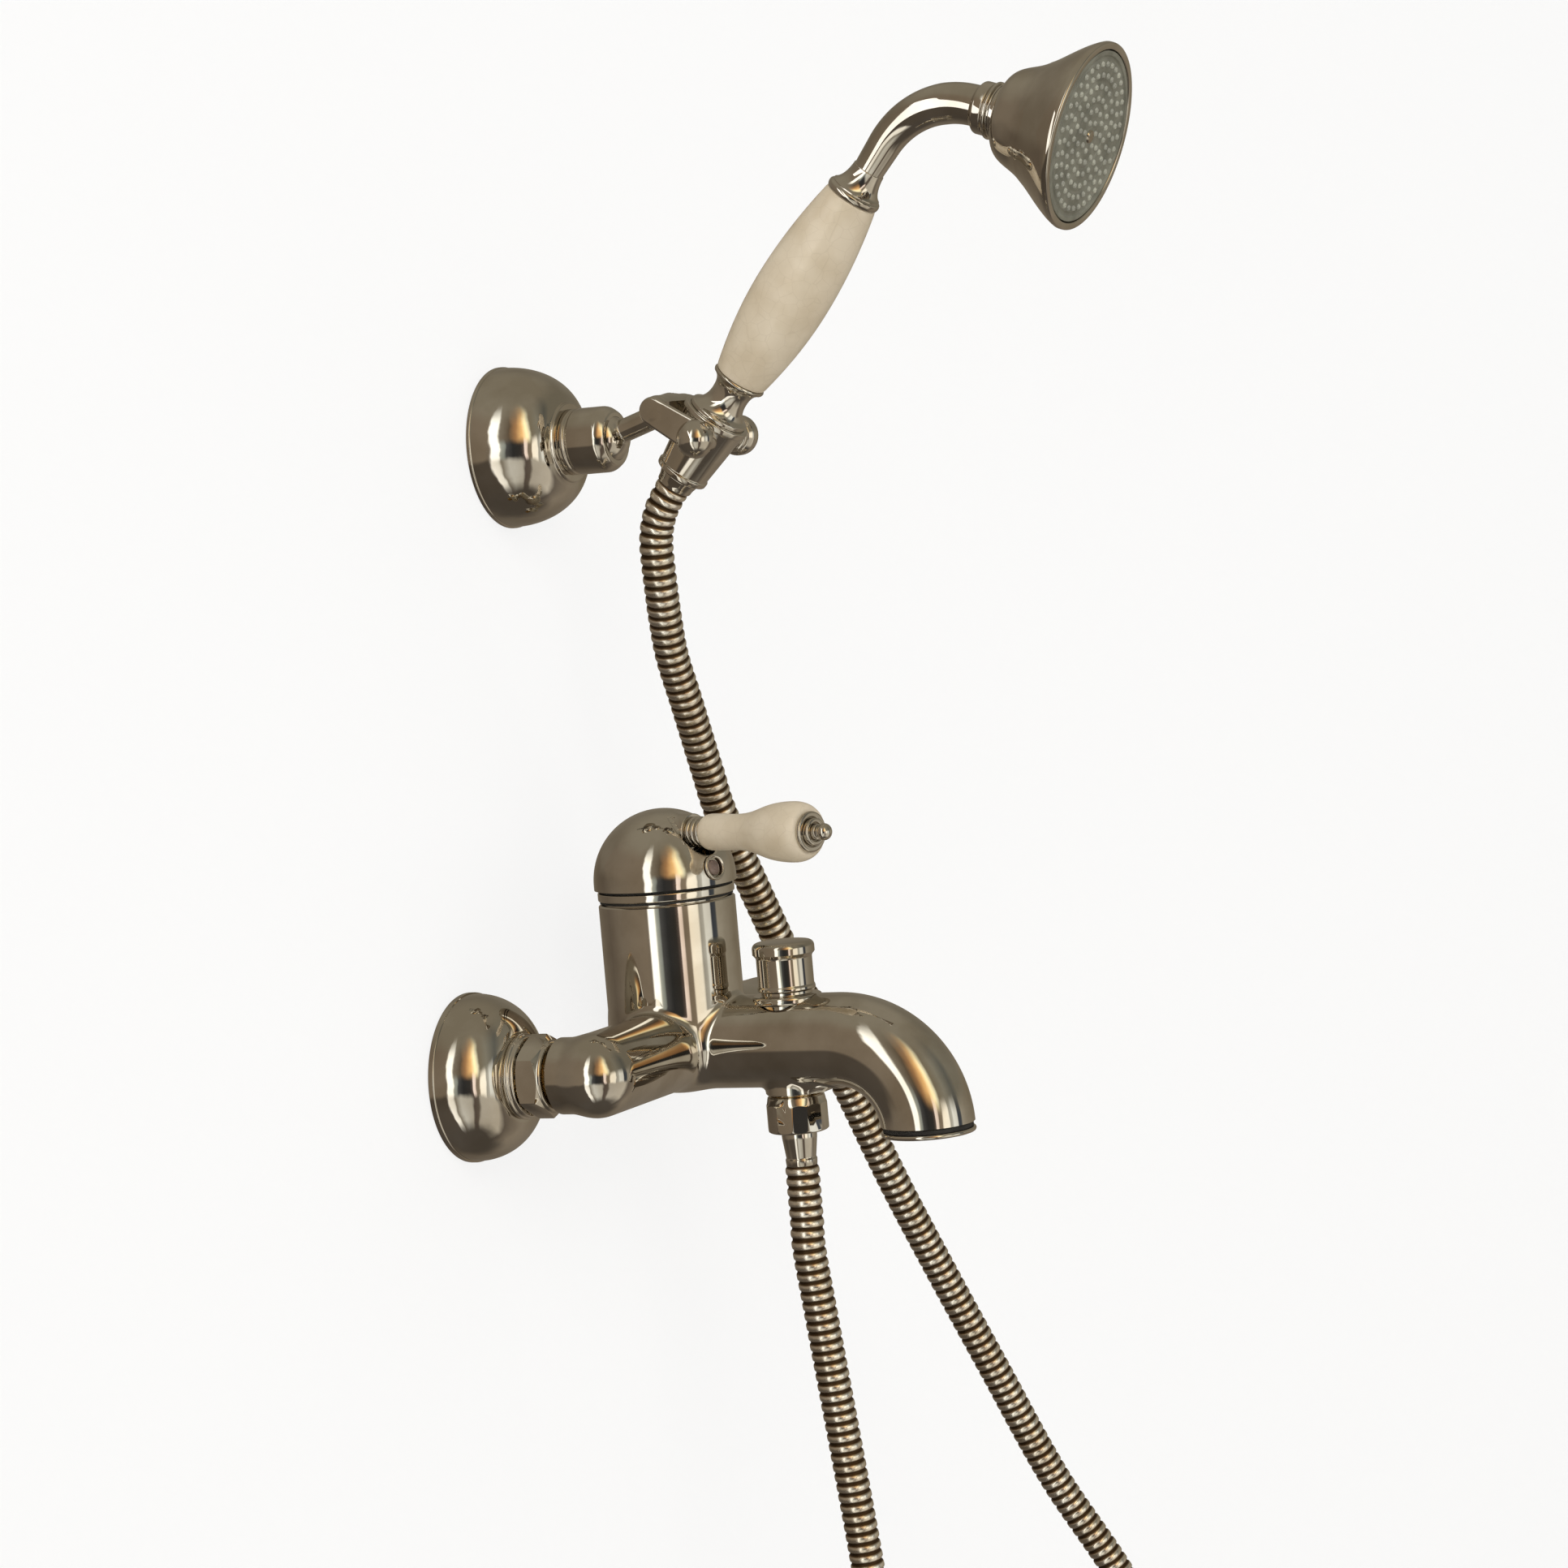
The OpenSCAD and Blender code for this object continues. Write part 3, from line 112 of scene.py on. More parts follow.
class Recipe:
    """Node tree of one material or world while it is written."""

    def __init__(self, tree: bpy.types.NodeTree) -> None:
        """Start from an empty tree."""
        self.tree = tree
        tree.nodes.clear()

    def add(self, kind: str, inputs: Optional[dict] = None, out: Union[int, str] = 0,
            **settings: object) -> Socket:
        """Add one node with its settings, values and links.

        Args:
            kind: Node type without its ShaderNode prefix.
            inputs: Values or sockets, by the input's name or number.
            out: Name or number of the output to hand back.
            **settings: Properties of the node.

        Returns:
            The chosen output socket.
        """
        node = self.tree.nodes.new("ShaderNode" + kind)
        for key, value in settings.items():
            setattr(node, key, value)
        for key, value in (inputs or {}).items():
            if isinstance(value, Socket):
                self.tree.links.new(value, node.inputs[key])
            else:
                node.inputs[key].default_value = value
        return node.outputs[out] if len(node.outputs) else node.inputs[0]

    def ramp(self, factor: Socket, stops: Sequence[tuple[float, tuple]]) -> Socket:
        """Colour a factor by stops, each a position and a linear colour, in order."""
        colour = self.add("ValToRGB", {0: factor})
        elements = colour.node.color_ramp.elements
        elements[0].position, elements[0].color = stops[0]
        elements[1].position, elements[1].color = stops[-1]
        for position, tone in stops[1:-1]:
            elements.new(position).color = tone
        return colour

    def noise(self, size: float, detail: float = 3.0, stretch: Triple = (1.0, 1.0, 1.0)) -> Socket:
        """Add a noise on object coordinates.

        Args:
            size: Size of its patches in millimetres.
            detail: Number of finer octaves.
            stretch: Scale of the pattern along x, y and z.

        Returns:
            Factor socket of the noise.
        """
        ray = self.add("TexCoord", out="Object")
        place = self.add("Mapping", {"Vector": ray, "Scale": stretch})
        return self.add("TexNoise", {"Vector": place, "Scale": per_mm(size), "Detail": detail})

    def mottle(self, size: float, dark: str, light: str, low: float = 0.35,
               high: float = 0.65, detail: float = 4.0) -> Socket:
        """Add patches of two tones.

        Args:
            size: Size of the patches in millimetres.
            dark: Hex colour below low.
            light: Hex colour above high.
            low: Noise value where the dark tone ends.
            high: Noise value where the light tone starts.
            detail: Number of finer octaves.

        Returns:
            Colour socket.
        """
        return self.ramp(self.noise(size, detail), [(low, linear(dark)), (high, linear(light))])

    def span(self, factor: Socket, low: float, high: float, start: float = 0.3,
             end: float = 0.7) -> Socket:
        """Return a factor mapped from start..end onto low..high."""
        return self.add("MapRange", {"Value": factor, "From Min": start, "From Max": end,
                                     "To Min": low, "To Max": high})

    def mix(self, share: Union[Socket, float], under: object, top: object,
            **settings: object) -> Socket:
        """Return a share of the top colour over the one under it."""
        return self.add("Mix", {0: share, 6: under, 7: top}, out=2, data_type="RGBA", **settings)

    def bump(self, height: Socket, depth: float, strength: float) -> Socket:
        """Return the normal of a relief that is depth millimetres high."""
        return self.add("Bump", {"Height": height, "Distance": depth * MM, "Strength": strength})

    def seen(self) -> Socket:
        """Return one for rays from the camera or through a clear surface, else zero."""
        path = self.add("LightPath").node.outputs
        return self.add("Math", {0: path["Is Camera Ray"], 1: path["Is Transmission Ray"]},
                        operation="MAXIMUM")


class Finish:
    """A finish that makes one material and keeps it."""

    name: str

    def write(self, recipe: Recipe) -> dict:
        """Write the finish's nodes and return the shader's inputs."""
        raise NotImplementedError

    def material(self) -> bpy.types.Material:
        """Return the finish's material, made on first use."""
        found = bpy.data.materials.get(self.name)
        if found:
            return found
        made = bpy.data.materials.new(self.name)
        made.use_nodes = True
        recipe = Recipe(made.node_tree)
        shader = recipe.add("BsdfPrincipled", self.write(recipe))
        recipe.add("OutputMaterial", {"Surface": shader})
        return made


@dataclass(frozen=True)
class Chrome(Finish):
    """Bright chrome on polished brass, slightly clouded by years of hard water."""

    name: str = "polished_chrome_plate"
    bright: str = "#D6D1C8"
    cloud: str = "#C3BCB0"
    smooth: float = 0.02
    dull: float = 0.07

    def write(self, recipe: Recipe) -> dict:
        """Write chrome: cloudy tone, wiped streaks in the gloss, a faint orange peel."""
        streaks = recipe.noise(size=9.0, detail=5.0, stretch=(1.0, 1.0, 0.5))
        peel = recipe.noise(size=11.0, detail=1.0)
        return {"Base Color": recipe.mottle(22.0, self.cloud, self.bright, low=0.38, high=0.62),
                "Metallic": 1.0, "Roughness": recipe.span(streaks, self.smooth, self.dull),
                "Normal": recipe.bump(peel, depth=0.02, strength=0.5)}


@dataclass(frozen=True)
class Glaze(Finish):
    """Cream glazed ceramic with a soft clear glaze and hair-thin crazing."""

    name: str = "cream_glazed_ceramic"
    pale: str = "#D9CBB4"
    warm: str = "#CDBDA3"
    hair: str = "#AE9C82"

    def write(self, recipe: Recipe) -> dict:
        """Write the glaze: mottled cream, faint crazing, fine specks under the coat."""
        tone = recipe.mottle(14.0, self.warm, self.pale, detail=5.0)
        place = recipe.add("TexCoord", out="Object")
        craze = recipe.add("TexVoronoi", {"Vector": place, "Scale": per_mm(5.5)},
                           feature="DISTANCE_TO_EDGE")
        line = recipe.span(craze, low=0.22, high=0.0, start=0.0, end=0.03)
        specks = recipe.noise(size=0.7, detail=2.0)
        waves = recipe.noise(size=7.0, detail=2.0)
        return {"Base Color": recipe.mix(line, tone, linear(self.hair)), "IOR": 1.5,
                "Roughness": recipe.span(specks, 0.30, 0.42),
                "Coat Weight": 0.45, "Coat Roughness": 0.16,
                "Normal": recipe.bump(waves, depth=0.05, strength=0.5)}


@dataclass(frozen=True)
class WoundSteel(Finish):
    """Wound metal strip of the hose: bright crowns, painted shade in the grooves."""

    name: str = "wound_chrome_strip"
    # Dark brown of the grooves: painted shade between the turns of the strip.
    groove: str = "#54422F"
    flank: str = "#A08A70"
    crown: str = "#FFFAF0"
    stain: str = "#D8CAB4"

    def write(self, recipe: Recipe) -> dict:
        """Write the strip from the relief stored on the mesh."""
        relief = recipe.add("Attribute", out="Fac", attribute_name="relief")
        # The relief ramp paints shade: dark in the grooves, half dark on the flanks, the strip's
        # own bright tone on the crowns.
        tone = recipe.ramp(relief, [(0.10, linear(self.groove)), (0.55, linear(self.flank)),
                                    (0.85, linear(self.crown))])
        stain = recipe.mottle(18.0, self.stain, "#FFFFFF", high=0.6)
        return {"Base Color": recipe.mix(0.45, tone, stain, blend_type="MULTIPLY"),
                "Metallic": 1.0, "Roughness": recipe.span(relief, 0.55, 0.25, start=0.0, end=1.0)}


@dataclass(frozen=True)
class TurnedBrass(Finish):
    """Machined brass with thread or tool rings across one axis."""

    name: str
    axis: str
    pitch: float
    depth: float
    bright: str = "#C9A669"
    dark: str = "#9C7C46"

    def write(self, recipe: Recipe) -> dict:
        """Write brass: tarnish in patches and rings from the cutting tool."""
        place = recipe.add("TexCoord", out="Object")
        rings = recipe.add("TexWave", {"Vector": place, "Scale": per_mm(self.pitch) * pi / 10},
                           out="Fac", wave_type="BANDS", bands_direction=self.axis)
        return {"Base Color": recipe.mottle(6.0, self.dark, self.bright, high=0.6),
                "Metallic": 1.0, "Roughness": recipe.span(recipe.noise(size=3.0), 0.2, 0.34),
                "Normal": recipe.bump(rings, self.depth, strength=0.8)}


@dataclass(frozen=True)
class Moulded(Finish):
    """A non-metal with a fine grain and a slightly uneven tone."""

    name: str
    light: str
    dark: str
    grain: float
    rough: float
    ior: float
    depth: float = 0.03
    uneven: float = 0.06

    def write(self, recipe: Recipe) -> dict:
        """Write the moulded surface: mottled tone, fine grain, uneven gloss."""
        grain = recipe.noise(self.grain)
        gloss = recipe.span(grain, self.rough - self.uneven, self.rough + self.uneven)
        return {"Base Color": recipe.mottle(8.0, self.dark, self.light), "Roughness": gloss,
                "IOR": self.ior, "Normal": recipe.bump(grain, self.depth, strength=0.6)}


@dataclass(frozen=True)
class ZincSteel(Finish):
    """Zinc plated steel with a brushed, slightly bluish grey skin."""

    name: str = "zinc_plated_steel"
    light: str = "#B4B6B4"
    dark: str = "#8A8C8A"

    def write(self, recipe: Recipe) -> dict:
        """Write zinc: crystal patches and drawn lines along the wire."""
        lines = recipe.noise(size=0.8, detail=2.0, stretch=(1.0, 0.08, 1.0))
        return {"Base Color": recipe.mottle(3.0, self.dark, self.light, low=0.4, high=0.6),
                "Metallic": 1.0, "Roughness": recipe.span(lines, 0.28, 0.4),
                "Normal": recipe.bump(lines, depth=0.01, strength=0.5)}


# Chrome: warm-grey mirror, a little softer than new because of hard water.
CHROME = Chrome()
# Glazed earthenware handles: cream, satin from a thin clear glaze.
GLAZE = Glaze()
# Double-lock steel strip of the hose.
STRIP = WoundSteel()
# Wall unions: cast and turned brass, G 1/2 and G 3/4 threads drawn at 1.8 mm.
UNION_BRASS = TurnedBrass("threaded_brass_union", "Y", 1.8, 0.5)
# Upright brass pieces: nipple, stem and spindle.
STEM_BRASS = TurnedBrass("turned_brass_stem", "Z", 1.8, 0.25)
# Cast and faced brass of the nut and the fixing plate.
FACED_BRASS = TurnedBrass("faced_brass_plate", "X", 0.9, 0.03, "#BFA06A", "#93774A")
# Nitrile rubber washers: near-black, matt, faintly dusty.
RUBBER = Moulded("nitrile_rubber", "#2B2A28", "#1D1C1B", 0.5, 0.72, 1.5)
# Acetal cartridge pieces: waxy white, moulded.
ACETAL = Moulded("moulded_acetal", "#E4E2DA", "#D2CFC5", 0.6, 0.42, 1.48)
# Lapped alumina discs: dense, ivory white, very fine.
ALUMINA = Moulded("lapped_alumina", "#ECE8DD", "#DDD7C8", 0.3, 0.18, 1.76, 0.004)
# Spray face: limescaled grey-green moulded plastic.
SPRAY = Moulded("limescaled_spray_face", "#807F72", "#68675B", 1.1, 0.38, 1.46, 0.06)
# Soft nozzle tips: paler silicone.
NOZZLE = Moulded("silicone_nozzle", "#B4B3A4", "#96958A", 0.4, 0.5, 1.41)
# Index lens: smoked rose-brown plastic.
LENS = Moulded("smoked_lens", "#8A766A", "#6F5D54", 0.8, 0.24, 1.49)
# Fixing screws: zinc plated steel, satin with a cold grey sheen.
ZINC = ZincSteel()

# ---- places ---------------------------------------------------------------------

SCALE = Matrix.Diagonal((MM, MM, MM, 1.0))


def moved(x: float = 0.0, reach: float = 0.0, z: float = 0.0) -> Matrix:
    """Return a shift to x, reach out of the wall and height z, in millimetres."""
    return Matrix.Translation((x * MM, -reach * MM, z * MM))


def turned(angle: float, axis: str = "X") -> Matrix:
    """Return a turn by an angle in degrees about an axis."""
    return Matrix.Rotation(radians(angle), 4, axis)


def upright(reach: float) -> Matrix:
    """Return a place whose local z stays upright."""
    return moved(0, reach) @ SCALE


def outward(x: float, z: float) -> Matrix:
    """Return a place whose local z points out of the wall."""
    return moved(x, 0, z) @ turned(90) @ SCALE


def rising(reach: float, z: float, angle: float) -> Matrix:
    """Return a place whose local z rises by angle above straight out of the wall."""
    return moved(0, reach, z) @ turned(90 - angle) @ SCALE


def across(reach: float, z: float, side: int = 1) -> Matrix:
    """Return a place whose local z points along +x, or -x for side -1."""
    return moved(0, reach, z) @ turned(90 * side, "Y") @ SCALE


def in_mm(place: Matrix) -> Matrix:
    """Return a place in metres as the same place in millimetres."""
    return Matrix.Translation(place.translation / MM) @ place.to_3x3().normalized().to_4x4()


# ---- outlines -------------------------------------------------------------------


def arc(centre: tuple, radius: Union[float, tuple], start: float, end: float,
        steps: int) -> list[tuple]:
    """Return points of an arc or ellipse piece.

    Args:
        centre: Its middle.
        radius: Radius, or the two half axes.
        start: First angle in degrees.
        end: Last angle in degrees.
        steps: Number of pieces.

    Returns:
        Points along it.
    """
    wide, high = radius if isinstance(radius, tuple) else (radius, radius)
    angles = [radians(start + (end - start) * i / steps) for i in range(steps + 1)]
    return [(centre[0] + wide * cos(a), centre[1] + high * sin(a)) for a in angles]


class Profile(list):
    """Outline of a turned piece in (r, z), drawn on from its last point."""

    def __init__(self, *points: tuple) -> None:
        """Start with straight lines through points."""
        super().__init__(points)

    def to(self, *points: tuple) -> "Profile":
        """Go straight through points."""
        self.extend(points)
        return self

    def ease(self, *corners: tuple, steps: int = 5) -> "Profile":
        """Go through corners and round those that carry a radius as third number.

        Args:
            *corners: Points as (r, z) or (r, z, radius); the last one stays sharp.
            steps: Pieces of each rounding.

        Returns:
            The same profile.
        """
        track = [self[-1], *corners]
        for i, corner in enumerate(corners, 1):
            if len(corner) < 3:
                self.append(corner)
                continue
            here = Vector(corner[:2])
            before, after = Vector(track[i - 1][:2]) - here, Vector(track[i + 1][:2]) - here
            cut = min(corner[2], 0.48 * before.length, 0.48 * after.length)
            start, end = here + before.normalized() * cut, here + after.normalized() * cut
            for k in range(steps + 1):
                t = k / steps
                mixed = start * (1 - t) ** 2 + here * 2 * t * (1 - t) + end * t * t
                self.append((mixed.x, mixed.y))
        return self

    def curve(self, leave: tuple, reach: tuple, end: tuple, steps: int = 12) -> "Profile":
        """Go along a cubic curve.

        Args:
            leave: Handle at the last point.
            reach: Handle at the end.
            end: End of the curve.
            steps: Number of pieces.

        Returns:
            The same profile.
        """
        handles = list(zip(self[-1], leave, reach, end))
        for i in range(1, steps + 1):
            t, u = i / steps, 1 - i / steps
            self.append(tuple(u ** 3 * p + 3 * u * u * t * q + 3 * u * t * t * r + t ** 3 * s
                              for p, q, r, s in handles))
        return self

    def sweep(self, *measures: object) -> "Profile":
        """Go along an arc, measured as arc() takes it."""
        self.extend(arc(*measures))
        return self


# ---- modelling steps ------------------------------------------------------------


def deselect() -> None:
    """Deselect everything."""
    bpy.ops.object.select_all(action="DESELECT")


def pick(*objects: Obj) -> None:
    """Select objects, with the first one active."""
    deselect()
    for one in objects:
        one.select_set(True)
    bpy.context.view_layer.objects.active = objects[0]


def named(name: str, obj: Optional[Obj] = None) -> Obj:
    """Name an object, or the one just added, and return it."""
    obj = obj or bpy.context.active_object
    obj.name = obj.data.name = name
    return obj


def applied() -> Obj:
    """Apply the transforms of the active object and return it."""
    bpy.ops.object.transform_apply(location=True, rotation=True, scale=True)
    return bpy.context.active_object


def place(obj: Obj, where: Matrix) -> Obj:
    """Apply a place to an object's mesh and return it."""
    pick(obj)
    obj.matrix_world = where
    return applied()


def shade(obj: Obj, angle: float = 32.0) -> None:
    """Shade an object smooth below an angle in degrees."""
    pick(obj)
    bpy.ops.object.shade_smooth_by_angle(angle=radians(angle))


def lathe(name: str, outline: Sequence[tuple], where: Optional[Matrix] = None,
          steps: int = 96) -> Obj:
    """Turn an outline about the local z axis.

    Args:
        name: Name of the piece.
        outline: Points (r, z) in millimetres; one that leaves the axis is closed.
        where: Place of the piece, or none to leave it in local millimetres.
        steps: Divisions of the turn.

    Returns:
        The turned piece.
    """
    points = [(r if abs(r) > 1e-9 else 0, z) for r, z in outline]
    if points[0][0] or points[-1][0]:
        points.append(points[0])
    deselect()
    bpy.ops.mesh.primitive_plane_add(size=2.0, location=(0, 0, 0))
    obj = named(name)
    bpy.ops.object.mode_set(mode="EDIT")
    bpy.ops.mesh.select_all(action="SELECT")
    bpy.ops.mesh.merge(type="CENTER")
    bpy.ops.transform.translate(value=(points[0][0], 0, points[0][1]))
    for (r0, z0), (r1, z1) in zip(points, points[1:]):
        bpy.ops.mesh.extrude_region_move(
            TRANSFORM_OT_translate={"value": (r1 - r0, 0, z1 - z0)})
    bpy.ops.mesh.select_all(action="SELECT")
    bpy.ops.mesh.spin(steps=steps, angle=tau, center=(0, 0, 0), axis=(0, 0, 1))
    bpy.ops.mesh.select_all(action="SELECT")
    bpy.ops.mesh.remove_doubles(threshold=2e-4)
    bpy.ops.mesh.normals_make_consistent(inside=False)
    bpy.ops.object.mode_set(mode="OBJECT")
    shade(obj)
    return obj if where is None else place(obj, where)


def modify(obj: Obj, kind: str, **settings: object) -> None:
    """Add a modifier with its settings and apply it."""
    pick(obj)
    modifier = obj.modifiers.new(kind.lower(), kind)
    for key, value in settings.items():
        setattr(modifier, key, value)
    bpy.ops.object.modifier_apply(modifier=modifier.name)


def break_edges(obj: Obj, width: float, angle: float) -> None:
    """Round the edges that are sharper than an angle in degrees."""
    modify(obj, "BEVEL", width=width, segments=2, limit_method="ANGLE",
           angle_limit=radians(angle))


def combine(obj: Obj, tool: Obj, operation: str = "DIFFERENCE") -> None:
    """Cut, join or intersect obj with a tool, which is then thrown away."""
    modify(obj, "BOOLEAN", object=tool, operation=operation, solver="EXACT")
    bpy.data.meshes.remove(tool.data)


def join(objects: Sequence[Obj]) -> Obj:
    """Join objects into the first one and return it."""
    pick(*objects)
    bpy.ops.object.join()
    return objects[0]


def rod(start: Sequence[float], end: Sequence[float], radius: float, sides: int = 32) -> Obj:
    """Add a plain rod between two points, as a cutter or a casting's core."""
    a, b = Vector(start), Vector(end)
    deselect()
    bpy.ops.mesh.primitive_cylinder_add(
        vertices=sides, radius=radius, depth=(b - a).length, location=(a + b) / 2,
        rotation=(b - a).to_track_quat("Z", "Y").to_euler())
    return applied()


def ball(centre: Triple, radius: float) -> Obj:
    """Add a plain ball as a casting's core."""
    deselect()
    bpy.ops.mesh.primitive_uv_sphere_add(segments=32, ring_count=16, radius=radius,
                                         location=centre)
    return applied()


def block(centre: Triple, size: Triple) -> Obj:
    """Add a plain block as a cutter."""
    deselect()
    bpy.ops.mesh.primitive_cube_add(size=1, location=centre, scale=size)
    return applied()


def nut(name: str, sides: int, radius: float, blank: Sequence[tuple], bore: Sequence[tuple],
        where: Matrix, turn: float = 0.0, edge: float = 0.25) -> Obj:
    """Model a nut: a turned blank cut to flats, bored, with broken edges.

    Args:
        name: Name of the piece.
        sides: Number of flats.
        radius: Radius of the corners.
        blank: Outline of the turned blank, which rounds the corners.
        bore: Outline of the bore's cutter.
        where: Place of the nut.
        turn: Turn of the flats in degrees.
        edge: Width of the broken edges.

    Returns:
        The nut.
    """
    heights = [z for _, z in blank]
    low, high = min(heights) - 1, max(heights) + 1
    deselect()
    bpy.ops.mesh.primitive_cylinder_add(
        vertices=sides, radius=radius, depth=high - low, location=(0, 0, (low + high) / 2),
        rotation=(0, 0, radians(turn)))
    obj = named(name, applied())
    combine(obj, lathe("blank", blank), "INTERSECT")
    combine(obj, lathe("bore", bore))
    break_edges(obj, edge, 24)
    shade(obj, 30)
    return place(obj, where)


def settle(obj: Obj, finish: Finish, body: Body, slot: Slot, *nodes: str) -> Obj:
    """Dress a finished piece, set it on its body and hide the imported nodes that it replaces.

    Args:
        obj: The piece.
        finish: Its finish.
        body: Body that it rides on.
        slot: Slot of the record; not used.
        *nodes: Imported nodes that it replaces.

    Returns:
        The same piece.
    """
    obj.data.materials.clear()
    obj.data.materials.append(finish.material())
    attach(obj, body.value)
    if nodes:
        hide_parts(*nodes)
    LOG.info("%s: %d faces", obj.name, len(obj.data.polygons))
    return obj


def plate(obj: Obj, body: Body, node: str) -> Obj:
    """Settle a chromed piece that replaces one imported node."""
    return settle(obj, CHROME, body, Slot.CHROME, node)


# ---- hose -----------------------------------------------------------------------


@dataclass
class ShowerHose:
    """Wound metal hose from the mixer's outlet up to the hand shower."""

    radius: float = 7.0
    groove: float = 6.3
    pitch: float = 4.3
    sides: int = 20
    knot_steps: int = 60
    look_ahead: float = 1.5
    lower_split: float = 50.0
    upper_split: float = 140.0
    blend_low: float = -60.0
    blend_high: float = 222.0
    entry_straight: float = 4.0
    exit_straight: Triple = (36.0, 24.0, 12.0)
    handset_slope: tuple[float, float] = (0.642788, 0.766044)
    top: Triple = (0.0, 75.6605, 227.890)
    outlet: Triple = (0.0, 106.5, -50.1)
    # Share of a turn of the strip, and its relief from 0 in a groove to 1 on a crown.
    strip: tuple[tuple[float, float], ...] = (
        (0.0, 0.0), (0.12, 0.06), (0.22, 0.66), (0.32, 0.93), (0.48, 1.0), (0.64, 0.95),
        (0.77, 0.70), (0.88, 0.08))
    route: tuple[Triple, ...] = (
        (0.2, 69.1, 219.1), (1, 66.1, 212.8), (2, 64.3, 206), (3.5, 63.4, 198.3), (7, 62, 186),
        (12, 60, 174), (19, 58, 158), (30, 57, 138), (47, 55, 108), (58, 55, 86), (87, 60, 33),
        (105, 64, -2), (123, 71, -40), (140, 80, -83), (157, 89, -122), (177, 104, -175),
        (196, 120, -228), (214, 144, -284), (224, 159, -340), (226, 166, -396), (219, 170, -452),
        (204, 170, -500), (179, 166, -542), (146, 159, -574), (110, 150, -586), (78, 141, -572),
        (54, 133, -534), (39, 126, -482), (30, 121, -422), (24, 117, -358), (19, 115, -290),
        (14, 114, -226), (4, 108, -120))

    def centreline(self) -> np.ndarray:
        """Return fine points of the route in millimetres, from the hand shower to the outlet."""
        reach, rise = (self.entry_straight * share for share in self.handset_slope)
        x, out, z = self.top
        end_x, end_out, end_z = self.outlet
        points = [self.top, (x, out - reach, z - rise), *self.route]
        points += [(end_x, end_out, end_z - drop) for drop in (*self.exit_straight, 0)]
        knots = np.array([(p[0], -p[1], p[2]) for p in points], float)
        knots = np.vstack([2 * knots[0] - knots[1], knots, 2 * knots[-1] - knots[-2]])
        fine = [0.5 * (2 * b + (c - a) * t + (2 * a - 5 * b + 4 * c - d) * t * t
                       + (3 * b - a - 3 * c + d) * t ** 3)
                for a, b, c, d in zip(knots, knots[1:], knots[2:], knots[3:])
                for t in np.arange(0, 1, 1 / self.knot_steps)]
        return np.array([*fine, knots[-2]])

    def rings(self) -> tuple[np.ndarray, np.ndarray, np.ndarray, np.ndarray]:
        """Space the rings of the wound strip along the route.

        Returns:
            Ring centres, tangents, side directions and relief.
        """
        line = self.centreline()
        steps = np.linalg.norm(np.diff(line, axis=0), axis=1)
        run = np.concatenate([[0], np.cumsum(steps)])
        count = round(run[-1] / self.pitch)
        share, relief = np.array(self.strip).T
        at = (np.arange(count)[:, None] + share[None]).ravel()
        at = np.concatenate([at, [count]]) * run[-1] / count

        def along(where: np.ndarray) -> np.ndarray:
            return np.stack([np.interp(where, run, line[:, i]) for i in range(3)], axis=1)

        tangents = along(at + self.look_ahead) - along(at - self.look_ahead)
        tangents = tangents / np.linalg.norm(tangents, axis=1)[:, None]
        sides, side = [], np.array([1.0, 0.0, 0.0])
        for tangent in tangents:
            side = side - tangent * side.dot(tangent)
            side /= np.linalg.norm(side)
            sides.append(side.copy())
        return along(at), tangents, np.array(sides), np.append(np.tile(relief, count), 0.0)

    def tube(self, name: str, centres: np.ndarray, tangents: np.ndarray, sides: np.ndarray,
             lift: np.ndarray) -> Obj:
        """Skin one length of hose.

        Args:
            name: Name of the piece.
            centres: Ring centres in millimetres.
            tangents: Ring directions.
            sides: Side direction of each ring.
            lift: Relief of each ring.

        Returns:
            The closed tube.
        """
        n, rings = self.sides, len(centres)
        turn = np.arange(n)[None, :, None] * tau / n
        radii = self.groove + (self.radius - self.groove) * lift
        up = np.cross(tangents, sides)
        circle = np.cos(turn) * sides[:, None] + np.sin(turn) * up[:, None]
        points = (centres[:, None] + radii[:, None, None] * circle).reshape(-1, 3) * MM
        faces = [(i * n + k, i * n + (k + 1) % n, (i + 1) * n + (k + 1) % n, (i + 1) * n + k)
                 for i in range(rings - 1) for k in range(n)]
        faces += [tuple(range(n - 1, -1, -1)), tuple(range((rings - 1) * n, rings * n))]
        mesh = bpy.data.meshes.new(name)
        mesh.from_pydata(points.tolist(), [], faces)
        relief = mesh.attributes.new("relief", "FLOAT", "POINT")
        relief.data.foreach_set("value", np.repeat(lift, n).astype(np.float32))
        obj = bpy.data.objects.new(name, mesh)
        bpy.context.collection.objects.link(obj)
        shade(obj, 60)
        return obj

    def build(self, lower_fittings: list, upper_fittings: list) -> None:
        """Args:
            lower_fittings: Pieces on the hose at the mixer's outlet.
            upper_fittings: Pieces on the hose at the hand shower.
        """
        tracks = self.rings()
        centres = tracks[0]
        bottoms = range(0, len(centres), len(self.strip))
        upper, lower = (next(i for i in bottoms if centres[i][2] < split)
                        for split in (self.upper_split, self.lower_split))
        lengths = (
            ("hose_lower_length", lower, len(centres) - 1, lower_fittings,
             Body.WALL, Body.ARM, self.blend_low, self.lower_split),
            ("hose_middle_length", upper, lower, [],
             Body.ARM, Body.CRADLE, self.lower_split, self.upper_split),
            ("hose_upper_length", 0, upper, upper_fittings,
             Body.CRADLE, Body.HANDSET, self.upper_split, self.blend_high))
        for name, first, last, fittings, a, b, low, high in lengths:
            part = slice(first, last + 1)
            obj = self.tube(name, *(track[part] for track in tracks))
            obj.data.materials.append(STRIP.material())
            obj.visible_glossy = False
            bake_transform(obj)
            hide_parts("shower_hose")
            path = centres[part][::-1] * MM
            length = float(np.linalg.norm(np.diff(path, axis=0), axis=1).sum())
            tuple(path[0])
            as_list(fittings)
            LOG.info("%s: %.3f m", name, length)


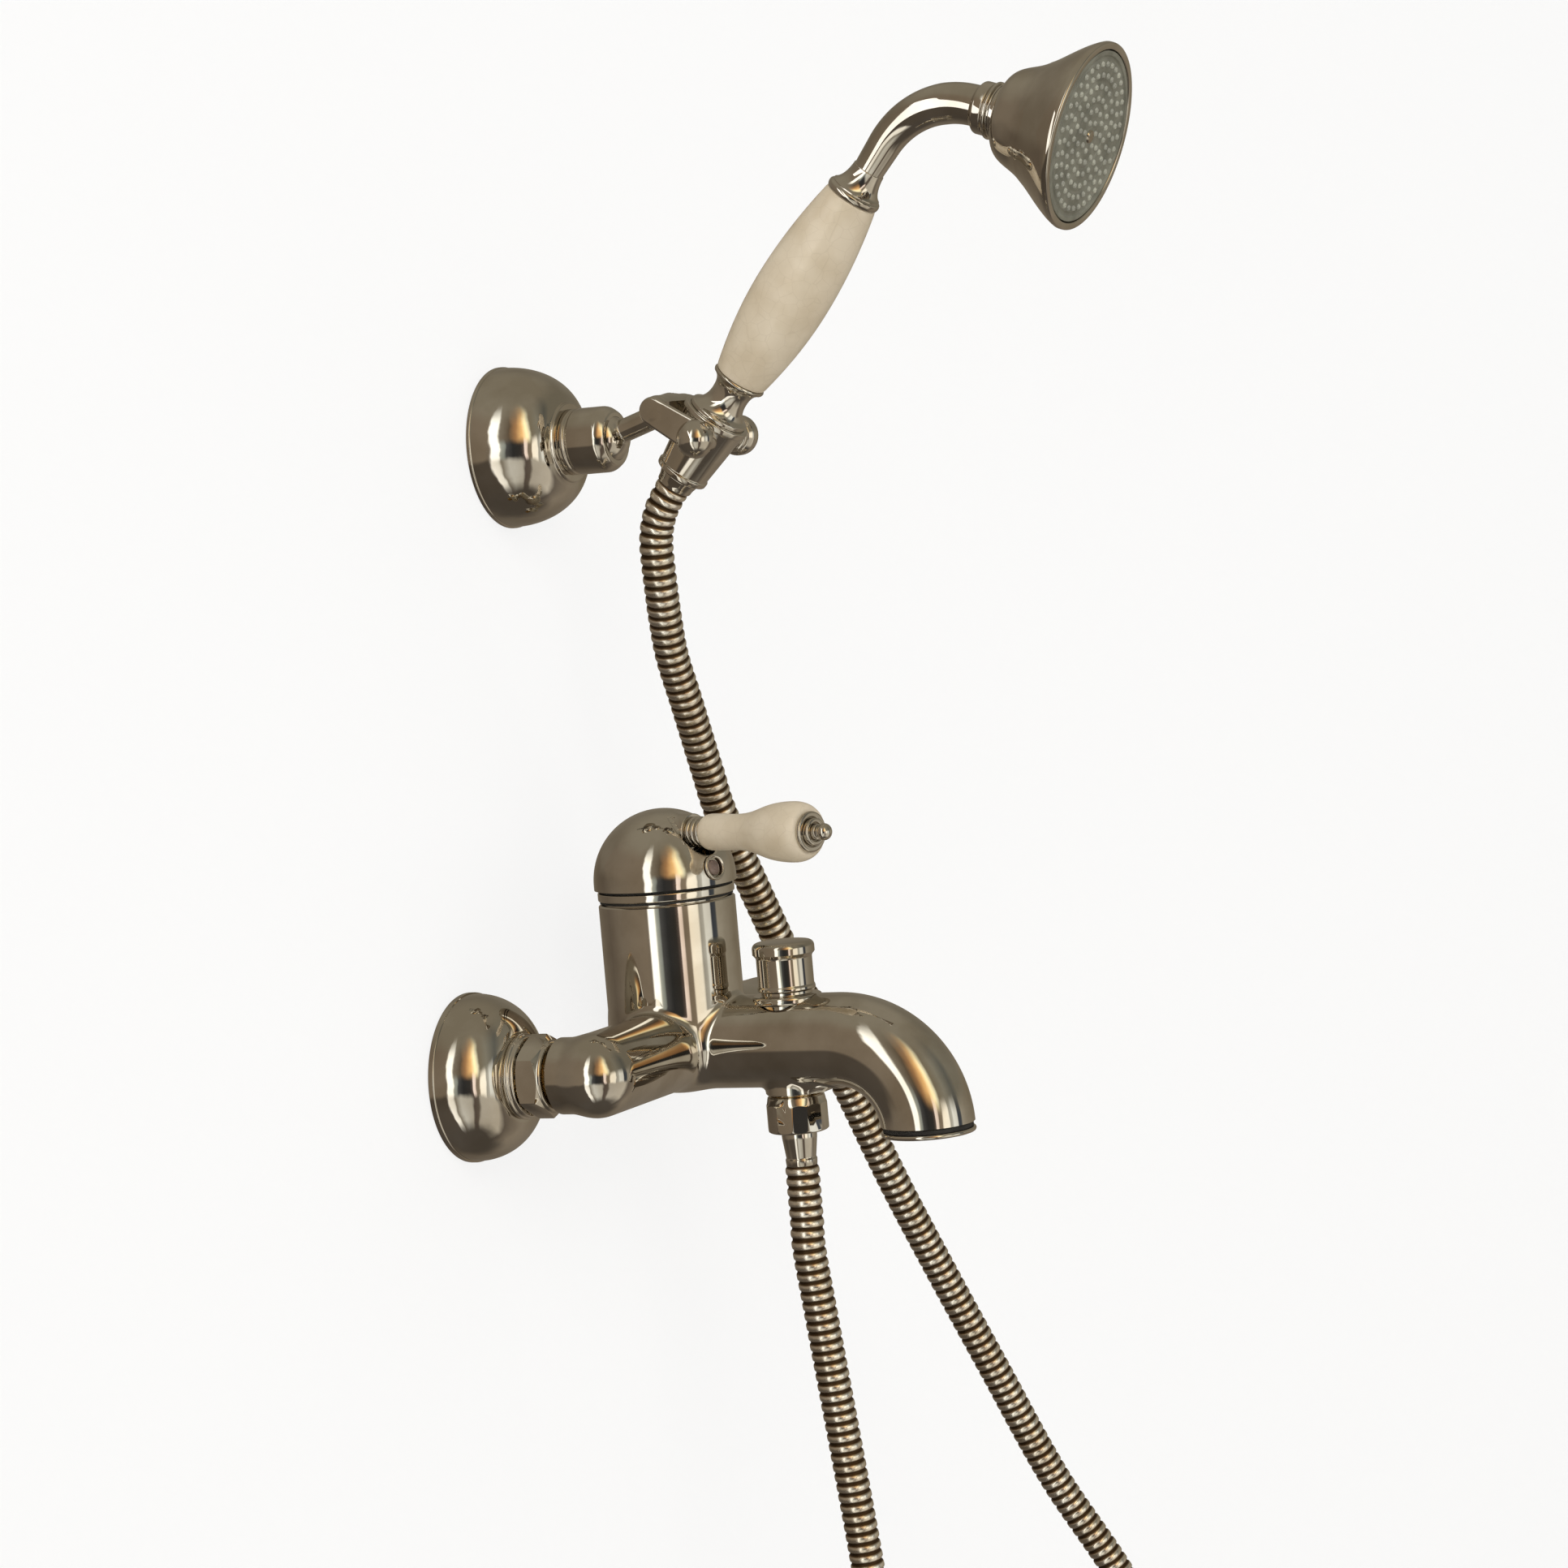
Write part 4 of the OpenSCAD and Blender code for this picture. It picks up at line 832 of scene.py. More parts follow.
# ---- wall unions ----------------------------------------------------------------


@dataclass
class WallUnions:
    """Wall flanges and union nuts of the two inlets."""

    spacing: float = 150.0
    flange_r: float = 34.0
    flange_depth: float = 28.0
    neck_r: float = 16.25
    neck_h: float = 3.5
    sheet: float = 1.5
    hole_r: float = 13.2
    nut_flats: float = 29.5
    nut_low: float = 28.4
    nut_high: float = 39.5
    nut_lip: float = 1.4
    thread_r: float = 13.2
    sleeve_r: float = 10.25

    def flange(self, name: str, x: float) -> Obj:
        """Turn one wall flange: thick rim, domed cover, neck ring."""
        r, neck, depth = self.flange_r, self.neck_r, self.flange_depth
        shoulder = depth - self.neck_h
        outline = Profile((r - 1.5, 0)).ease((r, 0, 0.5), (r, 2.4, 0.9), (r - 0.5, 2.6))
        outline += arc((neck, 2.6), (r - neck - 0.5, shoulder - 3.2), 0, 84, 26)[1:]
        outline.to((neck + 0.1, shoulder - 0.6)).ease(
            (neck + 0.9, shoulder - 0.2, 0.4), (neck + 0.9, shoulder + 1.4, 0.5),
            (neck, shoulder + 1.8, 0.4), (neck, depth, 0.7), (self.hole_r, depth))
        outline.to((self.hole_r, shoulder - 1.5))
        outline.sweep((neck - self.sheet, 0.6), (r - neck, shoulder - 2.4), 88, 0, 20)
        return lathe(name, outline, outward(x, 0), 128)

    def nut(self, name: str, x: float) -> Obj:
        """Model one hexagonal union nut with chamfered corners."""
        half, low, high = self.nut_flats / 2, self.nut_low, self.nut_high
        corner, lip = half / cos(radians(30)), high - self.nut_lip
        blank = [(0, low), (half - 0.6, low), (corner + 0.2, low + 1.4),
                 (corner + 0.2, high - 3.4), (half - 0.2, high - 1.6),
                 *arc((half - 2.0, high - 1.8), 1.8, 0, 90, 6), (0, high)]
        bore = [(0, low - 2), (self.thread_r, low - 2), (self.thread_r, lip),
                (self.sleeve_r, lip), (self.sleeve_r, high + 2), (0, high + 2)]
        return nut(name, 6, corner, blank, bore, outward(x, 0))

    def build(self) -> None:
        """Build both sides."""
        for side, x in (("left", -self.spacing / 2), ("right", self.spacing / 2)):
            plate(self.flange(f"wall_flange_{side}", x), Body.WALL, f"escutcheon_{side}")
            plate(self.nut(f"inlet_nut_{side}", x), Body.WALL, f"union_nut_{side}")


# ---- castings -------------------------------------------------------------------


def rod_field(start: Sequence[float], end: Sequence[float], radius: float,
              round_ends: bool = False) -> Field:
    """Return the distance field of a straight rod between two points.

    Args:
        start: Its first end.
        end: Its other end.
        radius: Its radius.
        round_ends: Whether its ends are balls and not flat.

    Returns:
        The field.
    """
    a, b = np.array(start, float), np.array(end, float)
    length = np.linalg.norm(b - a)
    axis = (b - a) / length

    def distance(p: np.ndarray) -> np.ndarray:
        along = (p - a) @ axis
        if round_ends:
            nearest = a + np.clip(along, 0, length)[:, None] * axis
            return np.linalg.norm(p - nearest, axis=1) - radius
        off = np.linalg.norm(p - a - along[:, None] * axis, axis=1) - radius
        return np.maximum(off, np.abs(along - length / 2) - length / 2)

    return distance


def ball_field(centre: Triple, radii: Triple) -> Field:
    """Return the distance field of a ball, or a close one of an ellipsoid."""
    middle, size = np.array(centre, float), np.array(radii, float)

    def distance(p: np.ndarray) -> np.ndarray:
        k0 = np.linalg.norm((p - middle) / size, axis=1)
        k1 = np.linalg.norm((p - middle) / size ** 2, axis=1)
        return k0 * (k0 - 1.0) / np.maximum(k1, 1e-9)

    return distance


def softened(off: np.ndarray, deep: np.ndarray, soft: float) -> np.ndarray:
    """Return distances to a plate with rounded edges, from those to its outline and faces."""
    off, deep = off + soft, deep + soft
    outside = np.hypot(np.maximum(off, 0), np.maximum(deep, 0))
    return outside + np.minimum(np.maximum(off, deep), 0) - soft


def blended(fields: Sequence[Field], width: float) -> Field:
    """Return the union of fields with a fillet of a given width."""

    def distance(p: np.ndarray) -> np.ndarray:
        result = fields[0](p)
        for one in fields[1:]:
            other = one(p)
            share = np.clip(0.5 + 0.5 * (other - result) / width, 0, 1)
            result = other * (1 - share) + result * share - width * share * (1 - share)
        return result

    return distance


def relieved(base: Field, tool: Field, width: float) -> Field:
    """Return a field with a tool taken out and its edge rounded over a given width."""

    def distance(p: np.ndarray) -> np.ndarray:
        body, cut = base(p), -tool(p)
        share = np.clip(0.5 - 0.5 * (body - cut) / width, 0, 1)
        return body * (1 - share) + cut * share + width * share * (1 - share)

    return distance


def read(items: object, what: str, kind: type = float, width: int = 3) -> np.ndarray:
    """Return one property of a mesh's items as an array with width columns."""
    values = np.empty(len(items) * width, kind)
    items.foreach_get(what, values)
    return values.reshape(-1, width)


@dataclass
class Casting:
    """A smooth casting: primitives fused by a remesh and drawn onto a distance field."""

    field: Field
    voxel: float
    probe: float = 0.02
    passes: int = 6
    longest_step: float = 0.8
    least_match: float = 0.9

    def slope(self, points: np.ndarray) -> np.ndarray:
        """Return the unit slope of the field at points."""
        parts = [(self.field(points + d) - self.field(points - d)) / (2 * self.probe)
                 for d in np.eye(3) * self.probe]
        slope = np.stack(parts, axis=1)
        return slope / np.maximum(np.linalg.norm(slope, axis=1), 1e-9)[:, None]

    def draw(self, obj: Obj) -> None:
        """Remesh the fused primitives and move each vertex onto the field."""
        modify(obj, "REMESH", mode="VOXEL", voxel_size=self.voxel)
        points = read(obj.data.vertices, "co")
        for _ in range(self.passes):
            step = np.clip(self.field(points), -self.longest_step, self.longest_step)
            points -= step[:, None] * self.slope(points)
        obj.data.vertices.foreach_set("co", points.ravel())
        obj.data.update()

    def true_normals(self, obj: Obj) -> None:
        """Shade the cast skin by the field and the machined faces by their edges."""
        shade(obj, 30)
        mesh = obj.data
        vertex_of = read(mesh.loops, "vertex_index", int, 1)[:, 0]
        points = read(mesh.vertices, "co")
        normals = read(mesh.corner_normals, "vector")
        on_skin = np.abs(self.field(points)) < self.probe
        slope = self.slope(points)
        for face in mesh.polygons:
            loops = np.array(face.loop_indices)
            here = vertex_of[loops]
            match = slope[here].mean(axis=0) @ np.array(face.normal)
            if on_skin[here].all() and match > self.least_match:
                normals[loops] = slope[here]
        mesh.normals_split_custom_set(normals.tolist())

    def cast(self, name: str, parts: Sequence[Obj], tools: Sequence[tuple[Obj, str]],
             where: Matrix = SCALE) -> Obj:
        """Fuse parts to one casting, machine it and put it in its place.

        Args:
            name: Name of the piece.
            parts: Plain solids that lie close to the final skin.
            tools: Solids to combine it with, each with the operation.
            where: Place of the casting.

        Returns:
            The casting.
        """
        obj = named(name, join(parts))
        self.draw(obj)
        for tool, operation in tools:
            combine(obj, tool, operation)
        self.true_normals(obj)
        return place(obj, where)


@dataclass
class MixerCasting:
    """Body casting: side arms, cartridge housing and swan spout."""

    spacing: float = 150.0
    arm_reach: float = 57.5
    arm_r: float = 17.0
    inlet_r: float = 15.3
    inlet_face: float = 41.5
    housing_reach: float = 55.5
    housing_r: float = 28.0
    housing_top: float = 60.3
    bowl_top: float = 4.0
    bottom: float = -19.0
    spout_z: float = 1.0
    spout_r: float = 19.0
    bend_r: float = 36.0
    bend_start: float = 128.3
    bend_steps: int = 8
    outlet_z: float = -35.0
    diverter_reach: float = 106.5
    boss_r: float = 12.0
    boss_low: float = -20.5
    boss_top: float = -6.0
    overlap: float = 8.0
    fillet: float = 3.4
    voxel: float = 1.0

    def elbow(self, p: np.ndarray) -> np.ndarray:
        """Return distances to the spout's quarter bend and the drop below it."""
        local = p - np.array((0.0, -self.bend_start, self.outlet_z))
        side, out, up = local[:, 0], -local[:, 1], local[:, 2]
        ring = np.hypot(np.hypot(out, up) - self.bend_r, side) - self.spout_r
        drop = np.maximum(np.hypot(out - self.bend_r, side) - self.spout_r, -up - 6)
        return np.where((out >= 0) & (up >= 0), ring,
                        np.where((up < 0) & (out > 0), drop, 1e3))

    def stub(self, x: float) -> tuple[Triple, Triple, float]:
        """Return the ends and radius of the inlet that leads to the wall at x."""
        return (x, -self.arm_reach, 0), (x, -self.inlet_face + 6, 0), self.inlet_r

    def skin(self) -> Field:
        """Return the distance field of the whole casting."""
        half, reach, axis = self.spacing / 2, -self.arm_reach, -self.housing_reach
        middle, boss_y = (0, axis, self.bowl_top), -self.diverter_reach
        arms = rod_field((-half, reach, 0), (half, reach, 0), self.arm_r, True)
        stubs = [rod_field(*self.stub(x)) for x in (-half, half)]
        drum = rod_field(middle, (0, axis, self.housing_top + self.overlap), self.housing_r)
        bowl = ball_field(middle, (self.housing_r, self.housing_r, self.bowl_top - self.bottom))
        straight = rod_field((0, axis, self.spout_z), (0, -self.bend_start, self.spout_z),
                             self.spout_r)
        boss = blended([rod_field((0, boss_y, self.boss_low - 5), (0, boss_y, self.boss_top),
                                  self.boss_r),
                        rod_field((0, boss_y - 12, -18.6), (0, boss_y - 8, self.boss_top),
                                  self.boss_r - 2.4, True)], 3.0)

        def housing(p: np.ndarray) -> np.ndarray:
            return np.where(p[:, 2] > self.bowl_top, drum(p), bowl(p))

        def spout(p: np.ndarray) -> np.ndarray:
            return np.where(-p[:, 1] < self.bend_start, straight(p), self.elbow(p))

        limbs = blended([arms, *stubs], 2.0)
        return blended([blended([housing, limbs], self.fillet), blended([spout, boss], 2.6)],
                       self.fillet)

    def cores(self) -> list[Obj]:
        """Return plain rods and balls that lie close to the final skin."""
        half, reach, axis = self.spacing / 2, -self.arm_reach, -self.housing_reach
        parts = [rod((-half, reach, 0), (half, reach, 0), self.arm_r)]
        for x in (-half, half):
            parts += [ball((x, reach, 0), self.arm_r), rod(*self.stub(x))]
        parts.append(rod((0, axis, self.bowl_top - 2), (0, axis, self.housing_top + self.overlap),
                         self.housing_r, 64))
        flat = (self.bowl_top - self.bottom) / self.housing_r
        parts.append(place(ball((0, 0, 0), self.housing_r),
                           Matrix.Translation((0, axis, self.bowl_top))
                           @ Matrix.Diagonal((1, 1, flat, 1))))
        parts.append(rod((0, axis, self.spout_z), (0, -self.bend_start - 2, self.spout_z),
                         self.spout_r))
        for i in range(self.bend_steps):
            ends = []
            for k in (i, i + 1.35):
                angle = radians(90 - 90 * min(k, self.bend_steps) / self.bend_steps)
                ends.append((0, -self.bend_start - self.bend_r * cos(angle),
                             self.outlet_z + self.bend_r * sin(angle)))
            parts.append(rod(*ends, self.spout_r))
        drop_y, boss_y = -self.bend_start - self.bend_r, -self.diverter_reach
        parts.append(rod((0, drop_y, self.outlet_z + 3), (0, drop_y, self.outlet_z - 6),
                         self.spout_r))
        parts.append(rod((0, boss_y, self.boss_top), (0, boss_y, self.boss_low - 5),
                         self.boss_r))
        return parts

    def cutters(self) -> Obj:
        """Turn the machined cavities as one set of cutters."""
        top, out, face, low = self.housing_top, self.outlet_z, self.inlet_face, self.boss_low
        drum, spout, stub, boss = self.housing_r, self.spout_r, self.inlet_r, self.boss_r
        cavity = [(0, 14), (20.2, 14), (20.2, 46.8), (23.15, 46.8), (23.15, top),
                  (drum - 0.7, top), (drum + 0.2, top - 0.9), (36, top - 0.9), (36, top + 20),
                  (0, top + 20)]
        outlet = [(0, out + 9), (14.02, out + 9), (14.02, out), (spout - 1.7, out),
                  (spout - 1.7, out + 1.3), (spout - 0.4, out + 1.3), (spout + 0.3, out + 1.9),
                  (25, out + 1.9), (25, out - 14), (0, out - 14)]
        inlet = [(0, 54), (7.5, 54), (7.5, 49.6), (10.08, 49.6), (10.08, face),
                 (stub - 0.7, face), (stub + 0.3, face + 1), (19, face + 1), (19, 30), (0, 30)]
        bonnet = [(0, 2), (10.65, 2), (10.65, 14), (13.06, 14), (13.06, 34), (0, 34)]
        port = [(0, -12.4), (8.08, -12.4), (8.08, low), (boss - 0.6, low),
                (boss + 0.2, low + 0.8), (16, low + 0.8), (16, low - 9), (0, low - 9)]
        half, divert = self.spacing / 2, in_mm(moved(0, self.diverter_reach))
        return join([place(lathe("cutter", outline), where) for outline, where in (
            (cavity, in_mm(moved(0, self.housing_reach))),
            (outlet, in_mm(moved(0, self.bend_start + self.bend_r))),
            (bonnet, divert), (port, divert), (inlet, in_mm(moved(-half)) @ turned(90)),
            (inlet, in_mm(moved(half)) @ turned(90)))])

    def build(self) -> None:
        """Cast, machine and dress the body, and set its aerator."""
        casting = Casting(self.skin(), self.voxel)
        body = casting.cast("mixer_casting", self.cores(), [(self.cutters(), "DIFFERENCE")])
        plate(body, Body.WALL, "mixer_body")
        where, z, r = upright(self.bend_start + self.bend_r), self.outlet_z, self.spout_r
        lip = Profile((12.4, z - 2.2)).ease(
            (12.9, z - 2.6, 0.3), (r - 0.2, z - 2.6, 0.8), (r + 0.3, z - 1.5, 0.6),
            (r - 0.2, z - 0.7, 0.3), (r - 1.75, z - 0.6, 0.1), (r - 1.75, z - 0.05),
            (14, z - 0.05), (14, z + 8), (12.4, z + 8))
        plate(lathe("outlet_lip", lip, where), Body.WALL, "aerator_housing")
        # A dark rubber-finished ring in the groove under the outlet lip: a painted shadow line.
        shadow_band = Profile((r - 1.65, z - 0.55)).ease(
            (r - 0.75, z - 0.55, 0.2), (r - 0.75, z + 1.2, 0.2), (r - 1.65, z + 1.2))
        settle(lathe("outlet_shadow_ring", shadow_band, where), RUBBER, Body.WALL, Slot.CHROME)


# ---- lever ----------------------------------------------------------------------


@dataclass
class LeverSet:
    """Trim ring, dome, ceramic lever and index plug above the cartridge."""

    housing_reach: float = 55.5
    turn: float = 17.0
    ring_r: float = 28.0
    ring_in: float = 24.8
    ring_low: float = 60.8
    ring_high: float = 65.7
    dome_r: float = 29.2
    dome_in: float = 28.4
    dome_low: float = 66.4
    dome_centre: float = 68.4
    lever_z: float = 87.8
    boss_r: float = 7.6
    boss_end: float = 17.5
    collar_end: float = 26.8
    ribs: int = 3
    grip_end: float = 82.8
    grip_root_r: float = 7.5
    grip_belly_r: float = 12.2
    cap_r: float = 8.2
    rod_r: float = 3.01
    plug_r: float = 4.6
    plug_rise: float = 10.0
    plug_face: float = 5.05
    lens_r: float = 3.2
    voxel: float = 0.6

    def turret(self) -> Matrix:
        """Return the place of the turned lever set in metres."""
        return moved(0, self.housing_reach) @ turned(-self.turn, "Z")

    def on_lever(self, start: float) -> Matrix:
        """Return a place whose local z runs out along the lever."""
        return self.turret() @ moved(0, start, self.lever_z) @ turned(90) @ SCALE

    def on_plug(self) -> Matrix:
        """Return the place of the index plug, its local z out of the dome."""
        return (self.turret() @ moved(0, 0, self.dome_centre) @ turned(90 - self.plug_rise)
                @ moved(0, 0, self.dome_r - 5) @ SCALE)

    def dome(self) -> Obj:
        """Cast the dome with its hooded boss, crease and plug seat."""
        z, mid, low = self.lever_z, self.dome_centre, self.dome_low
        centre, foot, boss_y = (0, 0, mid), (0, 0, low - 8), -self.boss_end - 1.2
        shell = blended([ball_field(centre, (self.dome_r,) * 3),
                         rod_field(foot, centre, self.dome_r)], 0.05)
        hood = rod_field((0, -2, z + 0.6), (0, boss_y, z), self.boss_r)
        channel = rod_field((0, -10.0, z - 0.2), (0, -40, z - 0.2), self.boss_r + 1.5)

        def crease(p: np.ndarray) -> np.ndarray:
            return np.maximum(np.maximum(channel(p), p[:, 2] - z - 6.4), -hood(p) - 0.2)

        skin = blended([relieved(shell, crease, 0.9), hood], 1.0)
        parts = [ball(centre, self.dome_r), rod(foot, centre, self.dome_r, 64),
                 rod((0, -2, z), (0, boss_y, z), self.boss_r)]
        hollow = [*arc((0, mid), self.dome_in, 90, 0, 24), (self.dome_in, low), (40, low),
                  (40, low - 30), (0, low - 30)]
        core = [(0, low + 3), (8.5, low + 3), (8.5, mid + 26.8), (0, mid + 27)]
        seat = lathe("seat", [(0, 0), (self.plug_r, 0), (self.plug_r, 12), (0, 12)])
        place(seat, Matrix.Translation(centre) @ turned(90 - self.plug_rise)
              @ Matrix.Translation((0, 0, self.dome_r - 5)))
        tools = [(lathe("hollow", hollow), "DIFFERENCE"), (lathe("core", core), "UNION"),
                 (seat, "DIFFERENCE")]
        return Casting(skin, self.voxel).cast("lever_hood", parts, tools, self.turret() @ SCALE)

    def trim(self) -> Obj:
        """Turn the trim ring with the grooves above and below it."""
        r, low, high = self.ring_r, self.ring_low, self.ring_high
        outline = Profile((self.ring_in, low - 0.5)).ease(
            (r - 2.4, low - 0.5), (r - 2.4, low + 1.1), (r, low + 1.1, 0.5),
            (r, high - 0.45, 0.6), (r - 2.0, high - 0.45), (r - 2.0, high), (self.ring_in, high))
        return lathe("trim_band", outline, upright(self.housing_reach), 128)

    def shadow_rings(self) -> Obj:
        """Turn two dark rubber-finished rings that sit in the grooves of the trim ring as painted
        shadow lines.
        """
        inner, outer = self.ring_r - 2.5, self.ring_r - 0.7
        return join([lathe(name, Profile((inner, low)).ease(
            (outer, low, 0.2), (outer, high, 0.2), (inner, high)), upright(self.housing_reach))
            for name, low, high in (
                ("trim_shadow_rings", self.ring_low + 0.05, self.ring_low + 1.15),
                ("upper_shadow_ring", self.ring_high - 0.5, self.ring_high + 0.6))])

    def collar(self) -> Obj:
        """Turn the ribbed collar at the lever's root."""
        length, foot, r = self.collar_end - self.boss_end, 1.6, self.boss_r
        outline = Profile((self.rod_r, 0), (r - 1, 0)).ease(
            (r, 0, 0.4), (r, foot, 0.4), (5.2, foot))
        pitch = (length - foot) / self.ribs
        for i in range(self.ribs):
            outline.sweep((5.3, foot + pitch * (i + 0.5)), (1.1, pitch * 0.44), -90, 90, 10)
        outline.to((5.2, length), (self.rod_r, length))
        return lathe("lever_ribs", outline, self.on_lever(self.boss_end))

    def grip(self) -> Obj:
        """Turn the ceramic lever: rounded root, waist and swelling end."""
        low, high, hole = self.collar_end, self.grip_end, self.rod_r + 0.2
        waist, belly = low + (high - low) * 0.3, low + (high - low) * 0.86
        root, widest, end = self.grip_root_r, self.grip_belly_r, self.cap_r + 0.4
        outline = Profile((hole, low), (root - 1.9, low))
        outline.curve((root - 0.2, low), (root + 0.1, low + 1.6), (root, low + 6), 10)
        outline.curve((root - 0.1, low + 9), (root - 0.2, waist - 4), (root - 0.2, waist), 6)
        outline.curve((root, waist + 14), (widest, belly - 16), (widest, belly), 18)
        outline.curve((widest, belly + 4.4), (end + 2, high), (end, high)).to((hole, high))
        return lathe("ceramic_lever", outline, self.on_lever(0), 128)

    def cap(self) -> Obj:
        """Turn the stepped end cap with its finial."""
        r = self.cap_r
        outline = Profile((0, 0.01), (r - 2, 0.01)).ease(
            (r, 0.01, 0.2), (r, 1.9, 0.9), (r - 2.2, 1.9, 0.5), (r - 2.4, 1.0, 0.3),
            (r - 2.6, 1.0, 0.3), (r - 2.6, 3.9, 0.9), (r - 4.4, 3.9, 0.5), (r - 4.6, 2.9, 0.2),
            (r - 4.8, 2.9, 0.2), (r - 5.0, 5.4, 0.5), (2.3, 5.6, 0.3), (2.3, 7.2))
        outline += arc((0, 8.1), (3.4, 3.0), -40, 90, 12)[1:]
        return lathe("lever_end_cap", outline, self.on_lever(self.grip_end))

    def plug(self) -> Obj:
        """Turn the ring of the index plug."""
        face, hole, r = self.plug_face, self.plug_r - 0.01, self.plug_r + 0.8
        outline = Profile((0, 0), (hole, 0), (hole, face), (r - 0.4, face)).ease(
            (r, face, 0.2), (r, face + 0.6, 0.3), (r - 0.6, face + 1.0, 0.4),
            (r - 1.4, face + 0.6, 0.2), (r - 1.5, face - 1.2, 0.2), (0.4, face - 1.2))
        return lathe("index_button", outline.to((0, face - 1.2)), self.on_plug(), 64)

    def lens(self) -> Obj:
        """Turn the smoked lens in the middle of the index plug."""
        low, high, r = self.plug_face - 1.1, self.plug_face + 0.5, self.lens_r
        outline = Profile((0, low), (r, low), (r, low + 0.5))
        outline += arc((0, low + 0.5), (r, high - low - 0.5), 0, 90, 10)[1:]
        return lathe("index_lens", outline, self.on_plug(), 48)

    def build(self) -> None:
        """Build and dress the lever set."""
        plate(self.trim(), Body.WALL, "trim_ring")
        # Dark rings in the trim's grooves: painted shadow lines.
        settle(self.shadow_rings(), RUBBER, Body.WALL, Slot.CHROME)
        plate(self.dome(), Body.LEVER, "lever_dome")
        plate(self.collar(), Body.LEVER, "lever_collar")
        settle(self.grip(), GLAZE, Body.LEVER, Slot.CERAMIC, "lever_grip")
        plate(self.cap(), Body.LEVER, "lever_cap")
        plate(self.plug(), Body.LEVER, "index_plug")
        settle(self.lens(), LENS, Body.LEVER, Slot.SPRAY)


# ---- diverter and hose fittings -------------------------------------------------


@dataclass
class DiverterSet:
    """Diverter knob, its base ring, and the hose fittings below the spout."""

    reach: float = 106.5
    ring_r: float = 13.0
    ring_low: float = 14.0
    ring_high: float = 21.5
    knob_low: float = 21.9
    knob_high: float = 41.9
    knob_r: float = 12.7
    body_r: float = 11.5
    stem_r: float = 3.06
    valve_r: float = 8.0
    nut_r: float = 12.2
    nut_low: float = -36.1
    nut_high: float = -21.0
    flange_low: float = -34.5
    thread_r: float = 10.45
    ferrule_low: float = -50.1
    ferrule_in: float = 4.2
    ferrule_r: float = 7.2

    def base(self) -> Obj:
        """Turn the diverter's base ring and its threaded root."""
        r, low, high, stem, valve = (self.ring_r, self.ring_low, self.ring_high, self.stem_r,
                                     self.valve_r)
        outline = Profile((stem, 13)).ease(
            (valve, 12), (valve, 5), (r - 2.5, 5), (r - 2.5, low), (r - 0.6, low),
            (r - 0.6, high - 4.9, 0.3), (r + 1.1, high - 4.7, 0.8), (r + 1.1, high - 1.5, 1.3),
            (r - 2.6, high - 1.4, 0.4), (r - 2.6, high, 0.2), (stem, high))
        return lathe("diverter_base", outline, upright(self.reach))

    def knob(self) -> Obj:
        """Turn the pull knob: straight body under a wider rounded cap."""
        low, high, r, body = self.knob_low, self.knob_high, self.knob_r, self.body_r
        neck = high - 6
        outline = Profile((self.stem_r, low + 9), (self.stem_r, low), (body - 1, low)).ease(
            (body + 0.4, low, 0.5), (body + 0.3, low + 1.4, 0.5), (body - 0.1, low + 1.9, 0.3),
            (body - 0.1, neck - 0.6, 0.6), (r, neck + 0.9))
        outline.sweep((r - 2.4, high - 2.9), (2.4, 2.5), 0, 80, 10)
        outline.to((r - 5, high - 0.12), (0, high), (0, low + 9))
        return lathe("diverter_pull", outline, upright(self.reach))

    def nut(self) -> Obj:
        """Model the twelve-sided hose nut."""
        r, low, high, flange, thread = (self.nut_r, self.nut_low, self.nut_high,
                                        self.flange_low, self.thread_r)
        corner = r / cos(radians(15))
        blank = [(0, low), *arc((r - 1.6, low + 1.6), (2.0, 1.6), -90, 0, 6),
                 (corner + 0.2, low + 2.6), (corner + 0.2, high - 4.4), (r - 0.1, high - 3.2),
                 (r - 0.6, high - 0.6), (r - 1.2, high), (0, high)]
        bore = [(0, low - 2), (7.4, low - 2), (7.4, flange), (thread, flange),
                (thread, high + 2), (0, high + 2)]
        return nut("hose_nut_outlet", 12, corner, blank, bore, upright(self.reach), 15, 0.2)

    def ferrule(self) -> Obj:
        """Turn the tapered ferrule that holds the hose."""
        low, top, flange, hole, r = (self.ferrule_low, self.nut_low, self.flange_low,
                                     self.ferrule_in, self.ferrule_r)
        outline = Profile((hole, low + 2)).ease(
            (5.2, low), (6.3, low, 0.4), (6.5, low + 2.6, 0.3), (6.1, low + 3.2, 0.3),
            (r, top - 2.2, 0.8), (r, top), (r, flange), (9.5, flange), (9.5, flange + 2),
            (hole, flange + 2))
        return lathe("hose_ferrule_outlet", outline, upright(self.reach))

    def build(self) -> list:
        """Build and dress the set, and return the fittings on the hose."""
        plate(self.base(), Body.WALL, "diverter_bonnet")
        plate(self.knob(), Body.DIVERTER, "diverter_knob")
        return [plate(self.nut(), Body.WALL, "hose_nut_lower"),
                plate(self.ferrule(), Body.WALL, "hose_ferrule_lower"), "hose_seal_lower"]


# ---- hand shower ----------------------------------------------------------------


